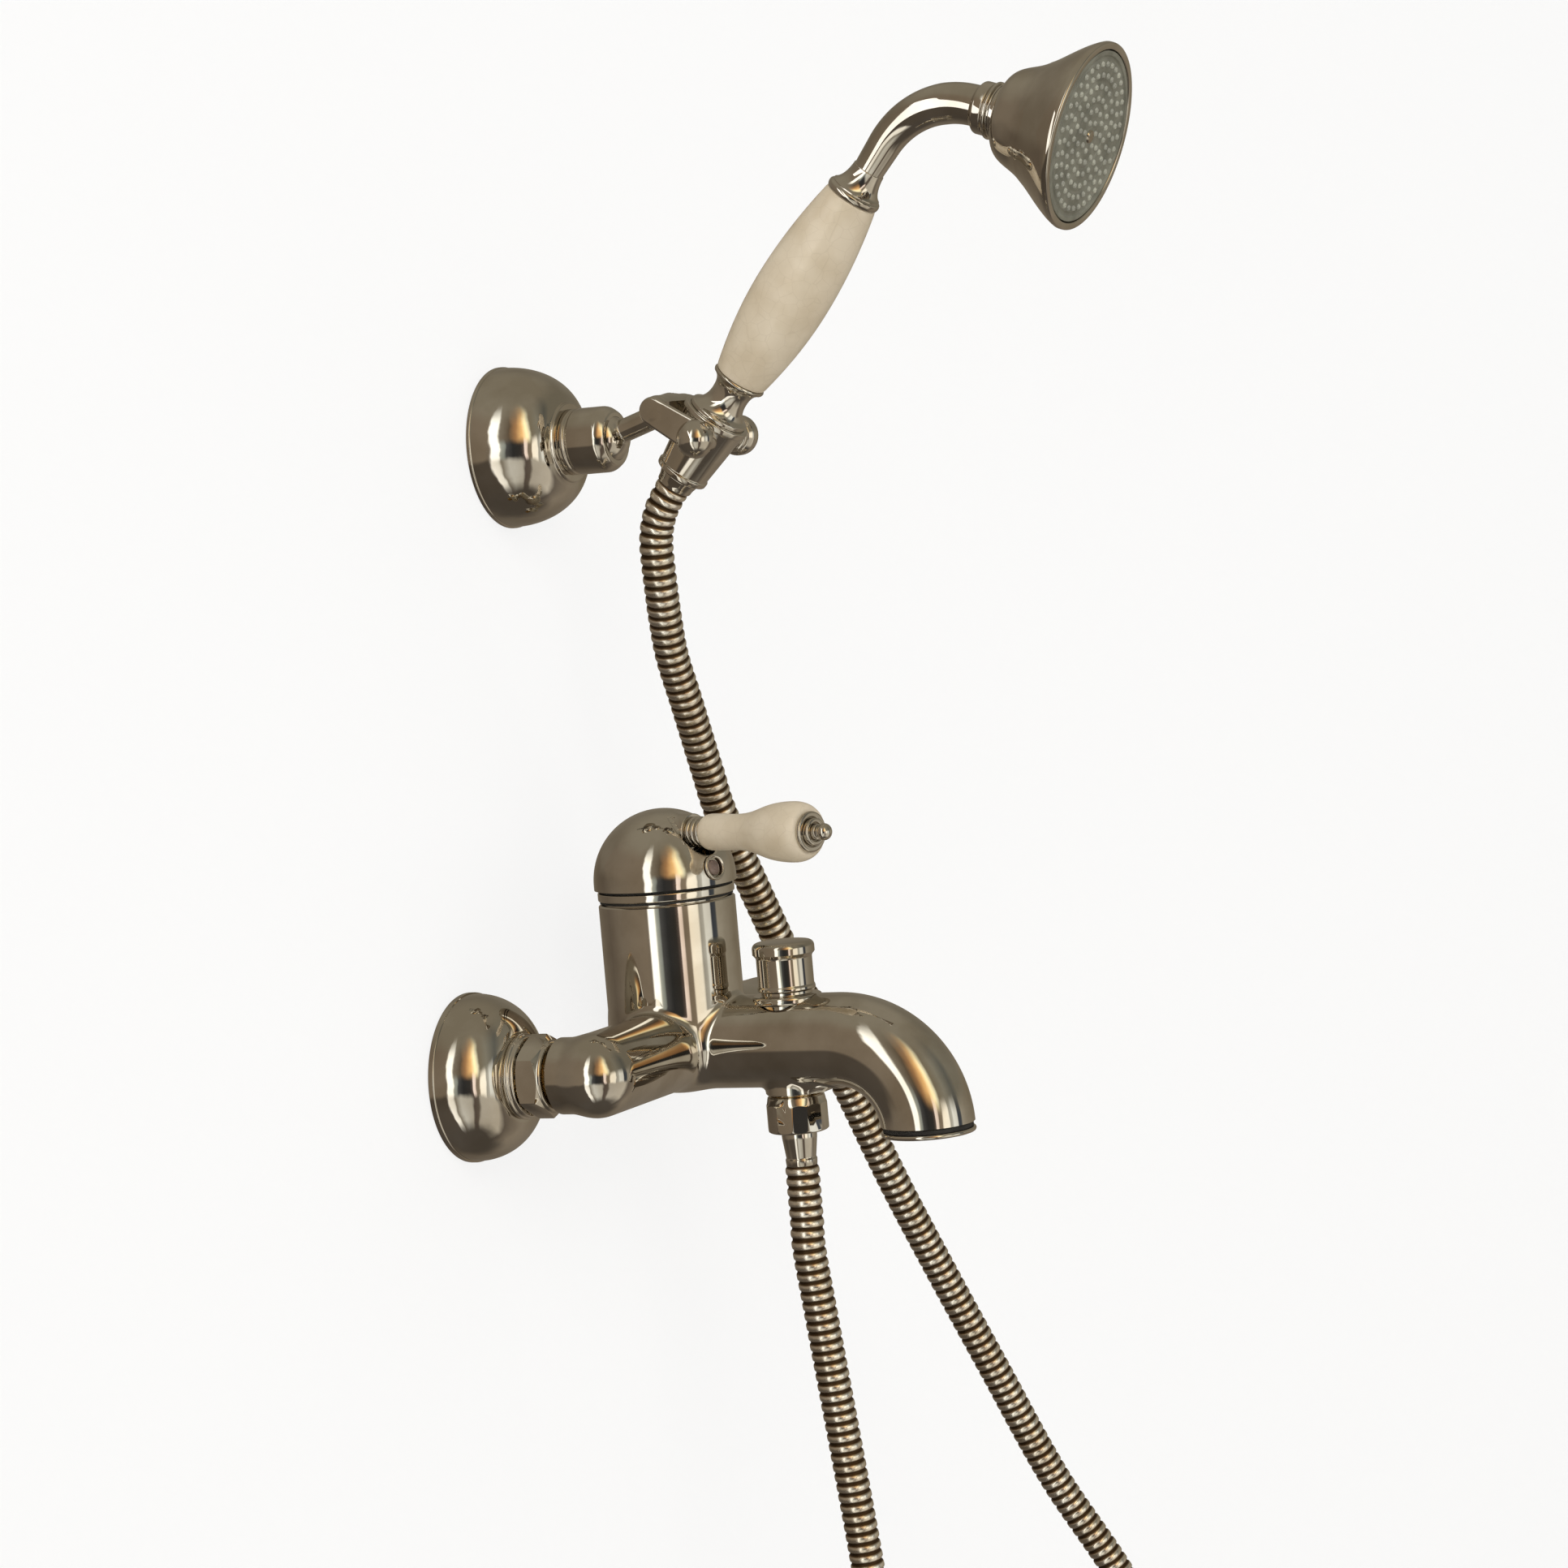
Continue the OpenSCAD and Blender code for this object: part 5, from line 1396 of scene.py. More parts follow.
@dataclass
class HandShower:
    """Hand shower: hose cone, ferrules, ceramic grip, neck and spray head."""

    rim_reach: float = 98.158
    rim_z: float = 254.702
    rise: float = 50.0
    head_reach: float = 230.879
    head_z: float = 361.403
    drop: float = 20.0
    cone_low: float = -29.5
    cone_small: float = 8.7
    cone_big: float = 12.2
    ferrule_low: float = -35.0
    ferrule_in: float = 4.2
    stem_r: float = 6.0
    thread_r: float = 10.3
    spigot: float = 7.0
    flange_r: float = 12.3
    waist_r: float = 7.7
    grip_low: float = 18.0
    grip_high: float = 105.0
    grip_end_r: float = 10.8
    grip_mid_r: float = 15.7
    tube_r: float = 5.7
    crown_in: float = 4.7
    neck_r: float = 6.2
    neck_top_r: float = 8.1
    neck_wall: float = 1.6
    neck_rings: int = 56
    neck_start: float = 129.8
    neck_bend_r: float = 36.0
    neck_turn: float = 70.0
    tail: float = 8.8
    head_in: float = 5.0
    head_neck_r: float = 12.0
    head_r: float = 36.8
    head_depth: float = 39.5
    sheet: float = 1.5
    plate_r: float = 34.9
    plate_t: float = 2.0
    ring_rows: tuple[float, float] = (21.6, 12.5)
    # Radius and number of tips of each ring of nozzles.
    nozzle_rings: tuple[tuple[float, int], ...] = (
        (5.6, 7), (10.2, 13), (14.8, 19), (19.4, 25), (23.9, 31), (28.2, 37))

    def on_axis(self) -> Matrix:
        """Return a place whose local z runs up the grip from the cradle's rim."""
        return rising(self.rim_reach, self.rim_z, self.rise)

    def on_head(self) -> Matrix:
        """Return a place whose local z runs out through the spray face."""
        return rising(self.head_reach, self.head_z, -self.drop)

    def hose_cone(self) -> Obj:
        """Turn the conical hose nut with its rounded foot."""
        low, small, big, hole, thread = (self.cone_low, self.cone_small, self.cone_big,
                                         self.stem_r + 0.06, self.thread_r)
        outline = Profile((hole, low)).ease(
            (small - 0.4, low, 0.4), (small + 0.1, low + 1.2, 0.6), (small + 0.2, low + 2.2, 0.3),
            (big, -2.0, 0.5), (big, -0.4, 0.5), (thread + 0.15, -0.4))
        outline.to((thread + 0.15, -8.8), (thread - 0.7, -8.8), (thread - 0.7, -11.1),
                   (hole, -11.1))
        return lathe("hose_cone", outline, self.on_axis())

    def hose_ferrule(self) -> Obj:
        """Turn the ferrule that holds the hose below the cone."""
        low, cone, hole, thread = self.ferrule_low, self.cone_low, self.ferrule_in, self.thread_r
        outline = Profile((hole, low + 1)).ease(
            (hole, low), (7.4, low, 0.5), (7.6, low + 2, 0.6), (8.5, cone - 0.6, 0.4),
            (8.5, cone - 0.3, 0.2), (self.stem_r, cone - 0.3), (self.stem_r, -11),
            (thread - 0.8, -11), (thread - 0.8, -9), (hole, -9))
        return lathe("hose_ferrule_handset", outline, self.on_axis())

    def lower_ferrule(self) -> Obj:
        """Turn the chrome foot of the grip: flange, waist, flare."""
        r, w, end, thread = self.flange_r, self.waist_r, self.grip_end_r + 0.2, self.thread_r
        outline = Profile((4.6, 10), (4.6, -self.spigot), (thread, -self.spigot), (thread, 0))
        outline.ease((r, 0, 0.3), (r, 1.8, 0.6), (r - 1.1, 2.2))
        outline.curve((w + 1.5, 3.0), (w, 6), (w, 9.5)).curve((w, 13), (end - 2.6, 15), (end, 16.6))
        outline.ease((end + 0.25, 17.3, 0.3), (end - 0.1, self.grip_low, 0.2),
                     (self.tube_r, self.grip_low)).to((self.tube_r, 10))
        return lathe("grip_foot", outline, self.on_axis())

    def grip(self) -> Obj:
        """Turn the barrel-shaped ceramic grip."""
        low, high = self.grip_low + 0.02, self.grip_high - 0.02
        end, mid, hole = self.grip_end_r, self.grip_mid_r, self.tube_r + 0.3
        middle = low + (high - low) * 0.47
        outline = Profile((hole, low)).ease((end - 0.2, low, 0.8), (end + 0.35, low + 1.6))
        outline.curve((end + 2.6, low + 12), (mid, middle - 16), (mid, middle), 22)
        outline.curve((mid, middle + 18), (end + 2.4, high - 12), (end + 0.3, high - 1.6), 22)
        outline.ease((end - 0.2, high, 0.8), (hole, high))
        return lathe("ceramic_grip", outline, self.on_axis(), 128)

    def upper_ferrule(self) -> Obj:
        """Turn the flared ferrule between grip and neck."""
        low, end, neck, hole = self.grip_high, self.grip_end_r, self.neck_r, self.crown_in
        outline = Profile((hole, low + 0.01)).ease(
            (end + 0.2, low + 0.01, 0.3), (end + 0.55, low + 1.2, 0.7), (end + 0.3, low + 2.5, 0.5),
            (end - 0.6, low + 3.0, 0.2), (end - 0.6, low + 3.5))
        outline.curve((neck + 1.6, low + 5), (neck + 0.6, low + 9), (neck + 0.4, low + 12.4), 14)
        outline.ease((neck + 0.4, low + 13, 0.3), (hole, low + 13))
        return lathe("grip_crown", outline, self.on_axis())

    def neck(self) -> Obj:
        """Draw the slightly swelling neck straight, then bend it about the local x axis."""
        low, start, radius = self.grip_high + 13.01, self.neck_start, self.neck_bend_r
        turn = radians(self.neck_turn)
        high, swollen = start + radius * turn + self.tail, start + radius * turn * 0.7
        outline = []
        for i in range(self.neck_rings + 1):
            z = low + (high - low) * i / self.neck_rings
            share = min(1.0, (z - low) / (swollen - low))
            outline.append((self.neck_r + (self.neck_top_r - self.neck_r) * share, z))
        outline += [(r - self.neck_wall, z) for r, z in reversed(outline)]
        obj = lathe("shower_neck", outline, None, 64)
        for vertex in obj.data.vertices:
            x, y, z = vertex.co
            if z <= start:
                continue
            angle = min((z - start) / radius, turn)
            past = z - start - angle * radius
            lean = radius + y
            vertex.co = (x, lean * cos(angle) - radius - past * sin(angle),
                         start + lean * sin(angle) + past * cos(angle))
        return place(obj, self.on_axis())

    def collar(self) -> Obj:
        """Turn the head's collar ring."""
        r, hole, seat = self.head_neck_r, self.neck_top_r + 0.12, self.head_in
        outline = Profile((hole, -9), (self.neck_top_r + 0.6, -9))
        outline.curve((self.neck_top_r + 0.9, -8.2), (r - 2.0, -8.0), (r - 1.7, -7.3), 8)
        outline.ease((r - 1.55, -6.9, 0.3), (r - 1.55, -3.5, 0.4), (r - 2.3, -3.1, 0.3),
                     (r - 2.3, -2.6, 0.2), (r - 0.6, -2.3, 0.5), (r - 0.6, -1.1, 0.5),
                     (r - 1.8, -0.8, 0.3), (r - 1.8, -0.2), (seat, -0.2))
        return lathe("head_ring", outline.to((seat, -1), (hole, -1)), self.on_head())

    def bell(self) -> Obj:
        """Spin the S-flared bell of the spray head."""
        r, depth, neck, hole = self.head_r, self.head_depth, self.head_neck_r, self.head_in

        def flare(grow: float) -> Profile:
            return Profile((neck - 1.2 + grow, 2.6)).curve(
                (20.5 + grow, 3.0), (18.6 + grow, 11), (24.5 + grow, 19), 28).curve(
                (27 + grow, 23.5), (r - 2.4 + grow, depth - 8), (r + grow, depth - 2), 20)

        outline = Profile((hole, 0)).ease((neck - 1.6, 0, 0.3), (neck - 1.6, 2.4))
        outline.to(*flare(0)).ease(
            (r + 0.05, depth, 1.2), (self.plate_r - 0.9, depth - 0.1, 0.5),
            (self.plate_r - 1.3, depth - 2.6))
        outline.to(*(p for p in reversed(flare(-self.sheet)) if p[1] > 5), (9.5, 4.6), (hole, 3.3))
        return lathe("head_flare", outline, self.on_head(), 128)

    def face(self) -> Obj:
        """Turn the spray face: rim, shallow rings, hub."""
        low = self.head_depth - self.plate_t - 0.4
        top, r, hole = low + self.plate_t, self.plate_r - 1.4, 1.55
        flat = top - 0.2
        outline = Profile((hole, low), (r, low)).ease(
            (r, top, 0.4), (r - 1.8, top, 0.2), (r - 2.3, top - 0.6, 0.2),
            (r - 3.2, top - 0.6, 0.2), (r - 3.8, flat))
        for row in self.ring_rows:
            outline.to((row + 0.9, flat)).ease(
                (row + 0.5, top - 0.45, 0.2), (row - 0.5, top - 0.45, 0.2), (row - 0.9, flat),
                steps=2)
        outline.to((4.2, flat)).ease((3.6, top + 0.02, 0.2), (hole, top + 0.02), steps=2)
        return lathe("spray_face", outline, self.on_head())

    def nozzles(self) -> Obj:
        """Model one soft nozzle and copy it round the rings."""
        top = self.head_depth - 0.6
        tip = [(0.0, top - 0.6), (1.25, top - 0.6), (1.2, top + 0.1), (0.85, top + 0.65),
               (0.4, top + 0.68), (0.32, top + 0.25), (0, top + 0.25)]
        first = lathe("nozzle", tip, None, 8)
        copies = []
        for radius, count in self.nozzle_rings:
            for i in range(count):
                # Each ring starts at its own angle, so the tips don't line up in rows.
                angle = tau * i / count + radius
                one = first.copy()
                one.data = first.data.copy()
                bpy.context.collection.objects.link(one)
                shift = (radius * cos(angle), radius * sin(angle), 0)
                copies.append(place(one, Matrix.Translation(shift)))
        bpy.data.meshes.remove(first.data)
        return place(named("spray_nozzles", join(copies)), self.on_head())

    def screw(self) -> Obj:
        """Turn the domed screw in the middle of the face, with a slot."""
        low, r = self.head_depth - 0.4, 1.48
        outline = Profile((0, 12), (r, 12), (r, low)).ease(
            (2.8, low, 0.2), (2.3, low + 0.9, 0.4), (0, low + 1.0))
        obj = lathe("face_screw", outline)
        combine(obj, block((0, 0, low + 1.0), (5.2, 0.7, 0.9)))
        shade(obj, 30)
        return place(obj, self.on_head())

    def build(self) -> list:
        """Build and dress the hand shower, and return the fittings on the hose."""
        body = Body.HANDSET
        fittings = [plate(self.hose_cone(), body, "hose_nut_upper"),
                    plate(self.hose_ferrule(), body, "hose_ferrule_upper"), "hose_seal_upper"]
        plate(self.lower_ferrule(), body, "handset_ferrule_lower")
        settle(self.grip(), GLAZE, body, Slot.CERAMIC, "handset_grip")
        plate(self.upper_ferrule(), body, "handset_ferrule_upper")
        plate(self.neck(), body, "handset_neck")
        plate(self.collar(), body, "head_collar")
        plate(self.bell(), body, "head_bell")
        settle(self.face(), SPRAY, body, Slot.SPRAY, "head_plate")
        settle(self.nozzles(), NOZZLE, body, Slot.SPRAY, "head_plate")
        plate(self.screw(), body, "head_screw")
        return fittings


# ---- bracket --------------------------------------------------------------------


@dataclass
class WallBracket:
    """Wall bracket: cover, swivel collar, ball-ended arm and slotted cradle."""

    z: float = 249.0
    cover_r: float = 34.0
    cover_depth: float = 31.0
    cover_neck_r: float = 14.9
    collar_r: float = 13.5
    post_r: float = 8.1
    post_end: float = 34.4
    ball_reach: float = 46.0
    ball_r: float = 10.5
    mouth: float = 5.6
    rod_r: float = 4.75
    rod_len: float = 32.5
    rod_rise: float = 17.0
    hub_reach: float = 77.08
    hub_z: float = 258.50
    elbow_r: float = 6.3
    pivot_reach: float = 96.08
    pivot_z: float = 246.002
    pivot_r: float = 2.5
    eye_r: float = 6.6
    prong_in: float = 14.4
    prong_out: float = 17.0
    prong_edge: float = 1.25
    elbow_edge: float = 5.6
    sweep_r: float = 21.0
    cup_small: float = 10.2
    cup_big: float = 13.7
    cup_wall: float = 1.3
    cup_len: float = 29.0
    slot_w: float = 15.0
    boss_x: float = 14.0
    knob_r: float = 8.2
    screw_r: float = 7.8
    voxel: float = 0.5

    def cover(self) -> Obj:
        """Spin the domed wall cover."""
        r, neck, depth, hole = self.cover_r, self.cover_neck_r, self.cover_depth, self.post_r + 0.1
        outline = Profile((r - 2.75, 0)).ease(
            (r - 0.9, 0, 0.4), (r - 0.9, 1.6, 0.9), (r - 1.35, 1.9))
        outline.sweep((neck, 1.6), (r - 1.3 - neck, depth - 3.0), 2, 82, 30)
        outline.ease((neck + 1.5, depth - 1.3, 0.4), (neck + 1.3, depth, 0.6), (hole, depth))
        outline.to((hole, depth - 1.5))
        outline.sweep((neck - 1.2, 0), (r - neck - 1.55, depth - 1.5), 88, 0, 20)
        return lathe("bracket_cover", outline, outward(0, self.z), 128)

    def collar(self) -> Obj:
        """Turn the collar that holds the swivel ball."""
        low, top, r = self.cover_depth + 0.1, self.ball_reach + self.mouth, self.collar_r
        seat_r, back = self.ball_r + 0.05, self.post_end + 0.1
        opening = degrees(asin(self.mouth / seat_r))
        seat = arc((0, self.ball_reach), seat_r, opening, -44, 16)
        outline = Profile((self.post_r, low)).ease(
            (r, low, 0.4), (r, low + 2.2, 0.3), (r - 0.6, low + 2.7, 0.2),
            (r - 0.6, low + 3.5, 0.2), (r, low + 4.0, 0.3), (r, top - 3.4, 1.8),
            (r - 2.4, top, 0.8), (seat[0][0], top))
        outline.to(*seat, (seat[-1][0], back), (self.post_r, back))
        return lathe("swivel_collar", outline, outward(0, self.z))

    def pin(self, half: float, radius: float, sides: int = 32) -> Obj:
        """Return a rod along the cradle's pivot, as a cutter."""
        pivot = (-self.pivot_reach, self.pivot_z)
        return rod((-half, *pivot), (half, *pivot), radius, sides)

    def arm(self) -> Obj:
        """Cast the arm: swivel ball, rod, hub and the two prongs of its yoke."""
        slope = radians(self.rod_rise)
        start = (0.0, -self.ball_reach, self.z)
        end = (0.0, start[1] - self.rod_len * cos(slope), self.z + self.rod_len * sin(slope))
        hub, eye = (np.array((-self.hub_reach, self.hub_z)),
                    np.array((-self.pivot_reach, self.pivot_z)))
        run, root = eye - hub, self.elbow_r - 0.6
        half, middle = (self.prong_out - self.prong_in) / 2, (self.prong_out + self.prong_in) / 2

        def prongs(p: np.ndarray) -> np.ndarray:
            share = np.clip((p[:, 1:] - hub) @ run / (run @ run), 0, 1)
            off = np.linalg.norm(p[:, 1:] - hub - share[:, None] * run, axis=1)
            return softened(off - (root + (self.eye_r - root) * share),
                            np.abs(np.abs(p[:, 0]) - middle) - half, self.prong_edge)

        def yoke(p: np.ndarray) -> np.ndarray:
            return softened(np.linalg.norm(p[:, 1:] - hub, axis=1) - self.elbow_r,
                            np.abs(p[:, 0]) - self.prong_out, self.elbow_edge)

        shaft = blended([ball_field(start, (self.ball_r,) * 3),
                         rod_field(start, end, self.rod_r)], 0.5)
        skin = blended([blended([yoke, prongs], 2.0), shaft], 5.0)
        parts = [ball(start, self.ball_r), rod(start, end, self.rod_r),
                 rod((-self.prong_out, *hub), (self.prong_out, *hub), self.elbow_r - 0.2)]
        for side in (-1, 1):
            for share in np.linspace(0, 1, 6):
                spot = hub + run * share
                parts.append(rod((side * self.prong_in, *spot), (side * self.prong_out, *spot),
                                 self.elbow_r + (self.eye_r - self.elbow_r) * share - 0.2))
        grub = rod((0, start[1], self.z - 12), (0, start[1], self.z + 12), 1.5, 24)
        tools = [self.pin(self.prong_in + 0.02, self.sweep_r, 96),
                 self.pin(30, self.pivot_r + 0.08), grub]
        return Casting(skin, self.voxel).cast("cradle_arm", parts,
                                              [(tool, "DIFFERENCE") for tool in tools])

    def cup(self, on_axis: Matrix) -> Obj:
        """Model the slotted conical cradle with its pivot bosses.

        Args:
            on_axis: Place of the hand shower, whose axis the cradle shares.

        Returns:
            The cradle.
        """
        small, big, low, wall = self.cup_small, self.cup_big, -self.cup_len, self.cup_wall
        to_axis, boss_r, x = in_mm(on_axis), self.eye_r - 1, self.boss_x
        outline = Profile((0, low)).ease(
            (small + 0.7, low, 0.5), (small + 0.9, low + 2.1, 0.6), (small + 0.3, low + 2.6, 0.3),
            (big - 0.3, -2.9, 0.3), (big + 0.5, -2.5, 0.4), (big + 0.5, -0.0, 0.7), (0, 0))
        cup = place(lathe("slotted_cradle", outline, None, 128), to_axis)
        boss = lathe("boss", Profile((0, -x)).ease((boss_r, -x, 0.5), (boss_r, x, 0.5), (0, x)),
                     None, 48)
        place(boss, Matrix.Translation((0, -self.pivot_reach, self.pivot_z)) @ turned(90, "Y"))
        hollow = lathe("hollow", [(0, low - 1), (small - wall - 0.12, low - 1),
                                  (big - wall + 0.12, 1), (0, 1)])
        slot = block((0, -20, low / 2), (self.slot_w, 40, self.cup_len + 4))
        # Known fault: the exact solver leaves the slot closed, and the bore that it makes for
        # the pivot differs from run to run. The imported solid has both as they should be.
        combine(cup, boss, "UNION")
        combine(cup, place(hollow, to_axis))
        combine(cup, place(slot, to_axis))
        combine(cup, self.pin(30, self.pivot_r + 0.02))
        break_edges(cup, 0.3, 50)
        shade(cup)
        return place(cup, SCALE)

    def screw(self) -> Obj:
        """Turn the ball-headed pivot screw on one side."""
        tip, head, r = self.cup_big - self.cup_wall + 0.1, self.prong_out + 0.15, self.pivot_r
        outline = [(0, tip), (r, tip), (r, head - 0.02), *arc((0, head), self.screw_r, 0, 90, 20)]
        return lathe("cradle_ball_screw", outline, across(self.pivot_reach, self.pivot_z, -1), 64)

    def knob(self) -> Obj:
        """Turn the round tension knob on the other side."""
        tip, head = self.cup_big - self.cup_wall + 0.1, self.prong_out + 0.15
        r, pivot = self.knob_r, self.pivot_r
        outline = Profile((0, tip), (pivot, tip), (pivot, head)).ease(
            (r - 1.6, head, 0.3), (r, head + 1.8, 0.8), (r, head + 5))
        outline.sweep((r - 3, head + 5), 3, 10, 80, 8).to((r - 3.6, head + 7.95), (0, head + 8))
        return lathe("tension_knob", outline, across(self.pivot_reach, self.pivot_z), 64)

    def build(self, on_axis: Matrix) -> None:
        """Build and dress the bracket round the hand shower's axis."""
        plate(self.cover(), Body.WALL, "bracket_escutcheon")
        plate(self.collar(), Body.WALL, "bracket_collar")
        plate(self.arm(), Body.ARM, "bracket_arm")
        plate(self.cup(on_axis), Body.CRADLE, "cradle_cup")
        plate(self.screw(), Body.CRADLE, "cradle_screw")
        plate(self.knob(), Body.CRADLE, "cradle_knob")


# ---- kept solids ----------------------------------------------------------------

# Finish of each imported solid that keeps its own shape.
KEPT: tuple[tuple[Finish, tuple[str, ...]], ...] = (
    (UNION_BRASS, ("union_left", "union_right")),
    (STEM_BRASS, ("inlet_sleeve_left", "inlet_sleeve_right", "hose_nipple", "diverter_stem",
                  "lever_spindle", "pivot_pin", "lever_rod", "handset_tube")),
    (FACED_BRASS, ("cartridge_nut", "bracket_plate")),
    (RUBBER, ("union_seal_left", "union_seal_right", "hose_seal_lower", "hose_seal_upper",
              "cartridge_seals", "diverter_valve")),
    (ACETAL, ("aerator_insert", "cartridge_base", "cartridge_shell", "lever_turret",
              "disc_carrier")),
    (ALUMINA, ("ceramic_disc_fixed", "ceramic_disc_moving")),
    (ZINC, ("bracket_screws",)),
)


def dress_kept() -> None:
    """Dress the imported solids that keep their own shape."""
    for finish, names in KEPT:
        for name in names:
            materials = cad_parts[name].data.materials
            materials.clear()
            materials.append(finish.material())
        LOG.info("%s: %s", finish.name, ", ".join(names))


# ---- studio ---------------------------------------------------------------------


@dataclass
class Studio:
    """Pale wall and floor, soft lamps, and the room that the chrome mirrors."""

    wall_y: float = 0.0006
    floor_z: float = -0.66
    size: float = 9.0
    wall_tone: str = "#F4F2EE"
    floor_tone: str = "#EFEDE8"
    ambient: float = 0.56
    key_power: float = 26.0
    fill_power: float = 9.0
    glow_power: float = 0.5
    paper: float = 0.82
    wobble: float = 0.16
    ripple: float = 2.6
    aim: Triple = (0.05, -0.1, 0.0)
    # Glow of the room by azimuth in degrees, seen level, above and towards the tub.
    level: Stops = (
        (-180, (0.15, 0.12, 0.09)), (-155, (0.22, 0.18, 0.135)), (-104, (0.275, 0.22, 0.16)),
        (-97.5, (0.25, 0.205, 0.155)), (-96, (2.1, 2.07, 1.96)), (-86, (2.0, 2.0, 1.85)),
        (-84, (0.55, 0.58, 0.52)), (-78, (0.36, 0.39, 0.36)), (-76, (0.10, 0.10, 0.10)),
        (-66, (0.04, 0.04, 0.04)), (-50, (0.05, 0.045, 0.04)), (-45, (0.16, 0.12, 0.10)),
        (-43.5, (1.45, 1.22, 1.08)), (-38, (1.2, 1.0, 0.86)), (-36.5, (0.30, 0.24, 0.17)),
        (-27, (0.34, 0.27, 0.19)), (-25, (1.55, 1.42, 1.18)), (-12, (1.5, 1.42, 1.22)),
        (-10, (0.55, 0.53, 0.46)), (-2, (0.7, 0.69, 0.62)), (0, (1.15, 1.16, 1.08)),
        (13, (1.0, 1.0, 0.93)), (15, (0.06, 0.07, 0.09)), (25, (0.09, 0.10, 0.11)),
        (28, (0.46, 0.42, 0.34)), (45, (0.36, 0.32, 0.25)), (80, (0.25, 0.21, 0.15)),
        (180, (0.15, 0.12, 0.09)))
    above: Stops = (
        (-180, (0.22, 0.18, 0.135)), (-99.5, (0.275, 0.22, 0.16)), (-97, (2.1, 2.07, 1.92)),
        (-87, (2.0, 2.0, 1.85)), (-84, (0.30, 0.26, 0.20)), (-70, (0.16, 0.12, 0.08)),
        (-58, (0.50, 0.27, 0.12)), (-46, (1.35, 0.82, 0.34)), (-37, (1.9, 1.6, 0.95)),
        (-31, (1.1, 1.05, 0.75)), (-26, (0.26, 0.22, 0.15)), (-6, (0.30, 0.28, 0.22)),
        (20, (0.15, 0.15, 0.13)), (34, (0.24, 0.22, 0.17)), (180, (0.22, 0.185, 0.14)))
    tub: Stops = (
        (-180, (0.085, 0.07, 0.055)), (-100, (0.11, 0.09, 0.07)), (-97, (1.5, 1.45, 1.33)),
        (-88, (1.3, 1.27, 1.15)), (-84, (0.30, 0.26, 0.20)), (-72, (0.80, 0.78, 0.70)),
        (-52, (0.62, 0.58, 0.49)), (-46, (0.13, 0.10, 0.08)), (-34, (0.16, 0.13, 0.10)),
        (-28, (0.60, 0.55, 0.46)), (20, (0.70, 0.64, 0.53)), (34, (0.18, 0.15, 0.12)),
        (60, (0.30, 0.25, 0.19)), (180, (0.085, 0.07, 0.055)))
    ceiling: Triple = (0.31, 0.275, 0.21)
    under: Triple = (0.10, 0.085, 0.07)

    def world(self) -> None:
        """Write the world: white to the camera, soft light, a room in the chrome."""
        world = bpy.data.worlds.new("bathroom_studio")
        bpy.context.scene.world = world
        world.use_nodes = True
        recipe = Recipe(world.node_tree)
        ray = recipe.add("TexCoord", out="Generated")
        waves = recipe.add("TexNoise", {"Vector": ray, "Scale": self.ripple, "Detail": 2.0},
                           out="Color")
        shift = recipe.add("VectorMath", {0: waves, 1: (0.5, 0.5, 0.5)}, operation="SUBTRACT")
        ray = recipe.add("VectorMath", {0: shift, 1: (self.wobble,) * 3, 2: ray},
                         operation="MULTIPLY_ADD")
        split = recipe.add("SeparateXYZ", {0: ray}).node.outputs
        out = recipe.add("Math", {0: split[1], 1: -1.0}, operation="MULTIPLY")
        turn = recipe.add("Math", {0: split[0], 1: out}, operation="ARCTAN2")
        factor = recipe.add("Math", {0: turn, 1: 1 / tau, 2: 0.5}, operation="MULTIPLY_ADD")
        room, above, tub = (recipe.ramp(factor, [(azimuth / 360 + 0.5, (*tone, 1))
                                                 for azimuth, tone in stops])
                            for stops in (self.level, self.above, self.tub))
        # Each layer takes over between two heights of the ray.
        for low, high, tone in ((0.02, 0.24, above), (0.50, 0.92, (*self.ceiling, 1)),
                                (-0.20, -0.34, tub), (-0.75, -0.95, (*self.under, 1))):
            climb = recipe.add("MapRange", {"Value": split[2], "From Min": low, "From Max": high},
                               interpolation_type="SMOOTHSTEP")
            room = recipe.mix(climb, room, tone)
        mirrored = recipe.add("LightPath", out="Is Glossy Ray")
        soft = (self.ambient, self.ambient, self.ambient * 0.98, 1)
        final = recipe.mix(recipe.seen(), recipe.mix(mirrored, soft, room), (1, 1, 1, 1))
        glow = recipe.add("Background", {"Color": final, "Strength": 1.0})
        recipe.add("OutputWorld", {"Surface": glow})

    def plane(self, name: str, tone: str, where: Matrix) -> None:
        """Add a matt stage plane that is clear from behind and unseen in mirrors.

        Args:
            name: Name of the plane.
            tone: Its hex colour.
            where: Its place, turned from flat on the ground.
        """
        deselect()
        bpy.ops.mesh.primitive_plane_add(size=self.size)
        obj = named(name)
        made = bpy.data.materials.new(name + "_paint")
        made.use_nodes = True
        recipe = Recipe(made.node_tree)
        white = recipe.add("Math", {0: recipe.seen(), 1: self.paper}, operation="MULTIPLY")
        shader = recipe.add("MixShader", {0: white, 1: recipe.add("BsdfDiffuse", {
            "Color": linear(tone)}), 2: recipe.add("Emission", {"Strength": 1.0})})
        back = recipe.add("NewGeometry", out="Backfacing")
        shader = recipe.add("MixShader", {0: back, 1: shader, 2: recipe.add("BsdfTransparent")})
        recipe.add("OutputMaterial", {"Surface": shader})
        obj.data.materials.append(made)
        obj.visible_glossy = False
        place(obj, where)

